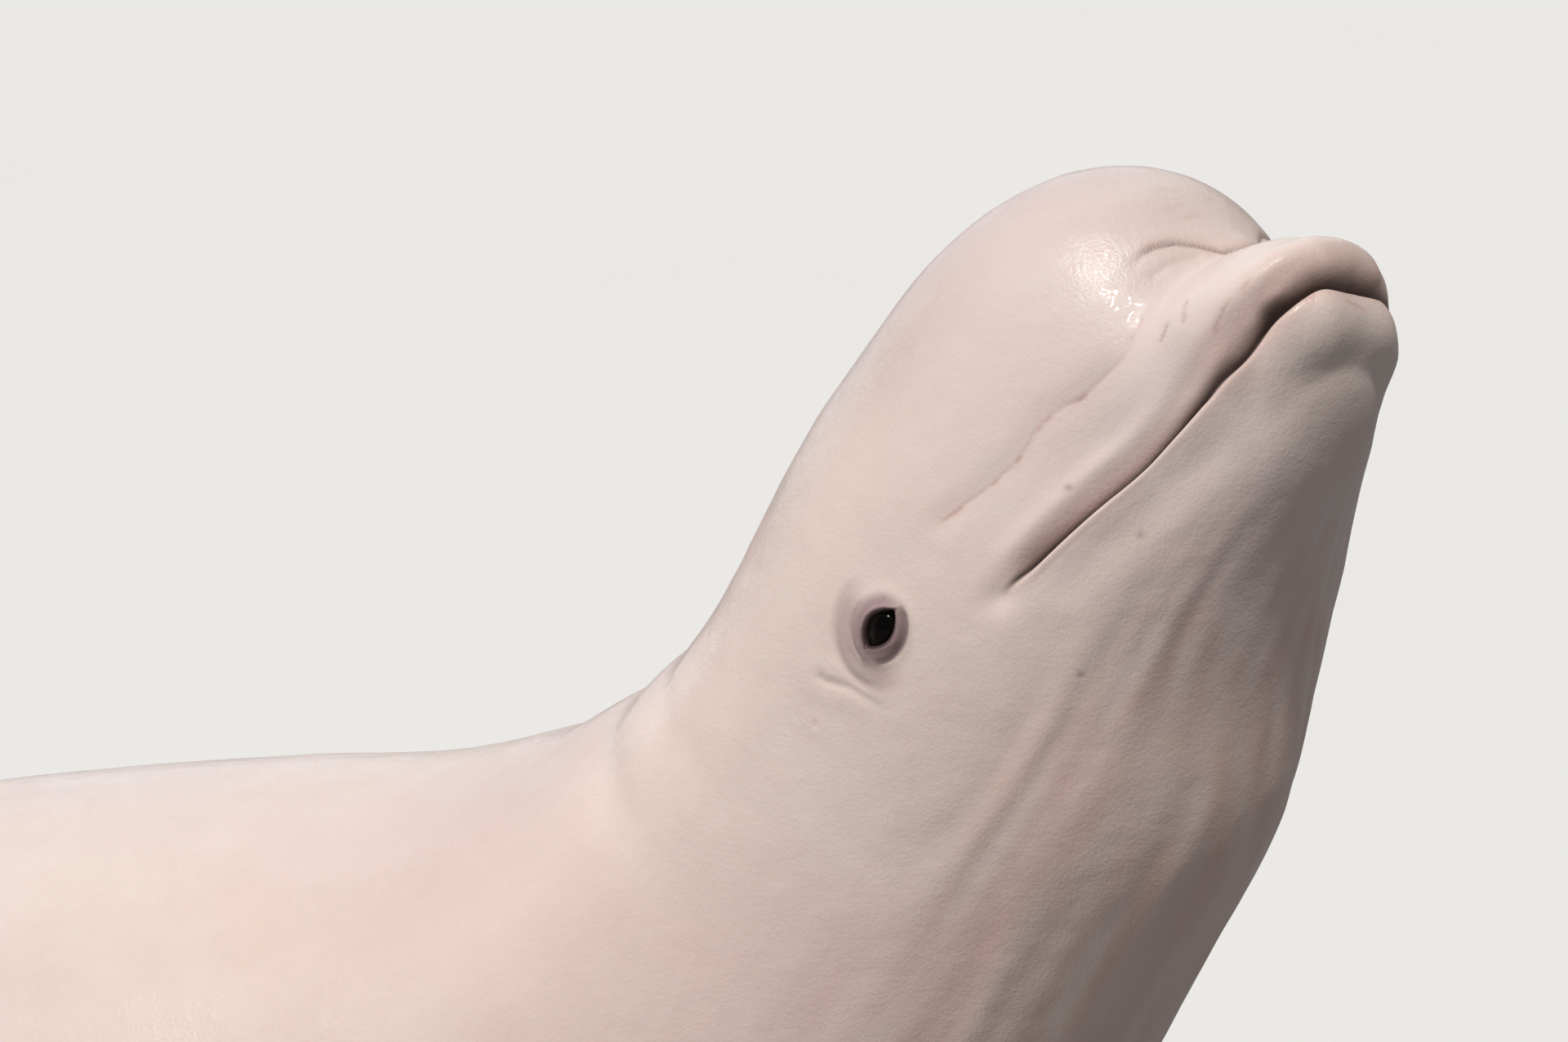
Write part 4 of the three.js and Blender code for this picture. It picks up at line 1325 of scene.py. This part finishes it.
def rounded_outline(half_x, half_y, corner, steps):
    """Points round a rectangle with rounded corners."""
    points = []
    for quarter, (sx, sy) in enumerate(((1, 1), (-1, 1), (-1, -1), (1, -1))):
        for k in range(steps + 1):
            a = math.pi / 2 * (quarter + k / steps)
            x = sx * (half_x - corner) + corner * math.cos(a)
            y = sy * (half_y - corner) + corner * math.sin(a)
            points.append((x, y))
    return np.array(points)


def base_piece(material):
    """The base: a slab with rounded corners, a shadow gap at the floor and a bevelled top edge."""
    length, width, height = STAND_BASE
    profile = [(10, 0), (10, 5), (0.5, 6), (0, 7), (0, height - 5)]
    for k in range(1, 7):
        a = math.pi / 2 * k / 6
        profile.append((5 - 5 * math.cos(a), height - 5 + 5 * math.sin(a)))
    rings = []
    for inset, z in profile:
        outline = rounded_outline(length / 2 - inset, width / 2 - inset, STAND_CORNER - inset, 16)
        rings.append(np.column_stack([outline, np.full(len(outline), z)]))
    mesh = closed_mesh("base_slab", np.array(rings), (0, 0, 0), (0, 0, height))
    flatten_shading(mesh)
    return add_object(mesh, material)


def flatten_shading(mesh, angle=32):
    """Sharp edges stay sharp, the rest is smooth."""
    work = bmesh.new()
    work.from_mesh(mesh)
    bmesh.ops.recalc_face_normals(work, faces=work.faces)
    for edge in work.edges:
        edge.smooth = len(edge.link_faces) < 2 or edge.calc_face_angle(0) < math.radians(angle)
    work.to_mesh(mesh)
    work.free()


def turned(name, profile, centre, columns=96):
    """A turned shape over radius and height pairs."""
    rings = [circle(centre, radius, z, columns) for radius, z in profile]
    first = (*centre, profile[0][1])
    last = (*centre, profile[-1][1])
    mesh = closed_mesh(name, np.array(rings), first, last)
    flatten_shading(mesh)
    return mesh


def under_belly(station):
    """The place of the belly's middle at a station."""
    half_down = spline(np.array(float(station)), STATION, HALF_DOWN)
    return bend(np.array([-station, 0, -half_down]))


def rod_pieces(node, station, skin_tree, steel, rubber):
    """A turned rod with a bolted collar, and a rubber pad that takes the belly's shape."""
    x, y, z = under_belly(station)
    foot = STAND_BASE[2] + ROD_GAP
    neck = z - PAD_HEIGHT
    profile = [(radius, foot + height) for radius, height in COLLAR]
    profile += [(38, neck - 8), (40, neck - 3), (46, neck)]
    rod = add_object(turned(node.replace("stand_", ""), profile, (x, y)), steel)
    for k in range(BOLT_COUNT):
        a = math.pi / 4 + k * 2 * math.pi / BOLT_COUNT
        centre = (x + BOLT_CIRCLE * math.cos(a), y + BOLT_CIRCLE * math.sin(a))
        bolt = turned(f"{node}_bolt_{k}", [(radius, foot + height) for radius, height in BOLT], centre, 24)
        add_object(bolt, steel).parent = rod
    pad = pad_mesh(f"{node}_pad", (x, y), neck, z, skin_tree)
    return rod, add_object(pad, rubber)


def pad_mesh(name, centre, bottom, middle, skin_tree):
    """A round pad whose top lies just under the belly."""
    rings = [circle(centre, radius, bottom + height, 72) for radius, height in PAD_SIDE]
    for radius, gap in PAD_TOP:
        ring = circle(centre, radius, 0, 72)
        for point in ring:
            point[2] = belly_height(point, middle, skin_tree) - gap
        rings.append(ring)
    first = (*centre, bottom + PAD_SIDE[0][1])
    last = (*centre, belly_height(centre, middle, skin_tree) - PAD_GAP)
    mesh = closed_mesh(name, np.array(rings), first, last)
    flatten_shading(mesh, 50)
    return mesh


def belly_height(point, middle, skin_tree):
    """Height of the skin over a place, or that of the belly's middle where there is none."""
    start = Vector((point[0] * MM, point[1] * MM, (middle - 150) * MM))
    hit = skin_tree.ray_cast(start, Vector((0, 0, 1)), 0.4)[0]
    return (hit.z / MM) if hit else middle


# Studio

def add_floor():
    """A wide pale floor. It throws no light up at the whale, whose underside stays in soft shade."""
    rows, columns = 40, 96
    radii = 60000 * (np.arange(1, rows + 1) / rows) ** 2
    rings = [circle((0, 0), radius, 0, columns) for radius in radii]
    points = np.concatenate([*rings, [[0, 0, 0]]]) * MM
    faces = [tuple(q) for q in grid_faces(rows, columns)]
    faces += [(len(points) - 1, j, (j + 1) % columns) for j in range(columns)]
    mesh = bpy.data.meshes.new("floor")
    mesh.from_pydata(points.tolist(), [], faces)
    floor = add_object(mesh, floor_material())
    floor.visible_diffuse = False
    floor.visible_glossy = False


def add_sun(name, azimuth, elevation, strength, softness, colour, mirrored):
    """Even light from one side: azimuth 0 comes from the camera's side, below zero from its left."""
    a, e = math.radians(azimuth), math.radians(elevation)
    way = Vector((math.sin(a) * math.cos(e), -math.cos(a) * math.cos(e), math.sin(e)))
    lamp = bpy.data.lights.new(name, "SUN")
    lamp.energy = strength
    lamp.angle = math.radians(softness)
    lamp.color = colour
    piece = bpy.data.objects.new(name, lamp)
    piece.rotation_mode = "QUATERNION"
    piece.rotation_quaternion = (-way).to_track_quat("-Z", "Y")
    piece.visible_glossy = mirrored
    bpy.context.scene.collection.objects.link(piece)


def add_studio():
    add_floor()
    for name, values in SUNS.items():
        add_sun(name, *values)
    world = bpy.data.worlds.new("studio")
    world.use_nodes = True
    world.node_tree.nodes["Background"].inputs["Color"].default_value = WORLD_COLOUR
    world.node_tree.nodes["Background"].inputs["Strength"].default_value = WORLD_STRENGTH
    bpy.context.scene.world = world
    bpy.context.scene.view_settings.view_transform = "Standard"


def add_camera():
    """The photograph's view: the distance and the focal length keep its perspective and framing."""
    elevation = math.radians(CAMERA_ELEVATION)
    back = Vector((0, -math.cos(elevation), math.sin(elevation)))
    right = Vector((1, 0, 0))
    up = back.cross(right)
    across = (CAMERA_PIXEL[0] - PHOTO_SIZE[0] / 2) / CAMERA_FOCAL_PIXELS
    down = (CAMERA_PIXEL[1] - PHOTO_SIZE[1] / 2) / CAMERA_FOCAL_PIXELS
    point = Vector(bend(np.array(CAMERA_POINT, float)))
    place = point - (right * across - up * down - back) * CAMERA_DISTANCE
    camera = bpy.data.cameras.new("camera")
    camera.sensor_width = 36
    camera.lens = 36 * CAMERA_FOCAL_PIXELS / PHOTO_SIZE[0]
    camera.clip_end = 500
    piece = bpy.data.objects.new("camera", camera)
    axes = Matrix((right, up, back)).transposed().to_4x4()
    piece.matrix_world = Matrix.Translation(place * MM) @ axes
    bpy.context.scene.collection.objects.link(piece)
    bpy.context.scene.camera = piece


def dress(piece, slot, *nodes):
    """Carries a piece on the root and hides the nodes that it stands for. The slot is not used."""
    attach(piece, "root")
    if nodes:
        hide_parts(*nodes)


def belly_tree(skin, station):
    """A search tree of the skin over a rod."""
    x, y, z = under_belly(station) * MM
    return tree_of(skin.data, lambda p: (np.hypot(p[:, 0] - x, p[:, 1] - y) < 0.2) & (p[:, 2] < z + 0.3))


def build():
    add_camera()
    add_studio()
    skin = skin_piece(skin_material())
    dress(
        skin, "skin", "head", "melon", "lower_jaw", "neck", "torso_front", "torso_rear", "tail_stock",
        "flipper_left", "flipper_right", "fluke_left", "fluke_right", "dorsal_ridge",
    )
    wet = eye_material()
    dress(eye_piece(1, wet), "eye", "eye_left")
    dress(eye_piece(-1, wet), "eye", "eye_right")
    dress(base_piece(painted_material()), "stand_base", "stand_base")
    steel, rubber = steel_material(), rubber_material()
    for node, station in ROD_STATIONS.items():
        rod, pad = rod_pieces(node, station, belly_tree(skin, station), steel, rubber)
        dress(rod, "stand_rod", node)
        dress(pad, "stand_rod")


build()
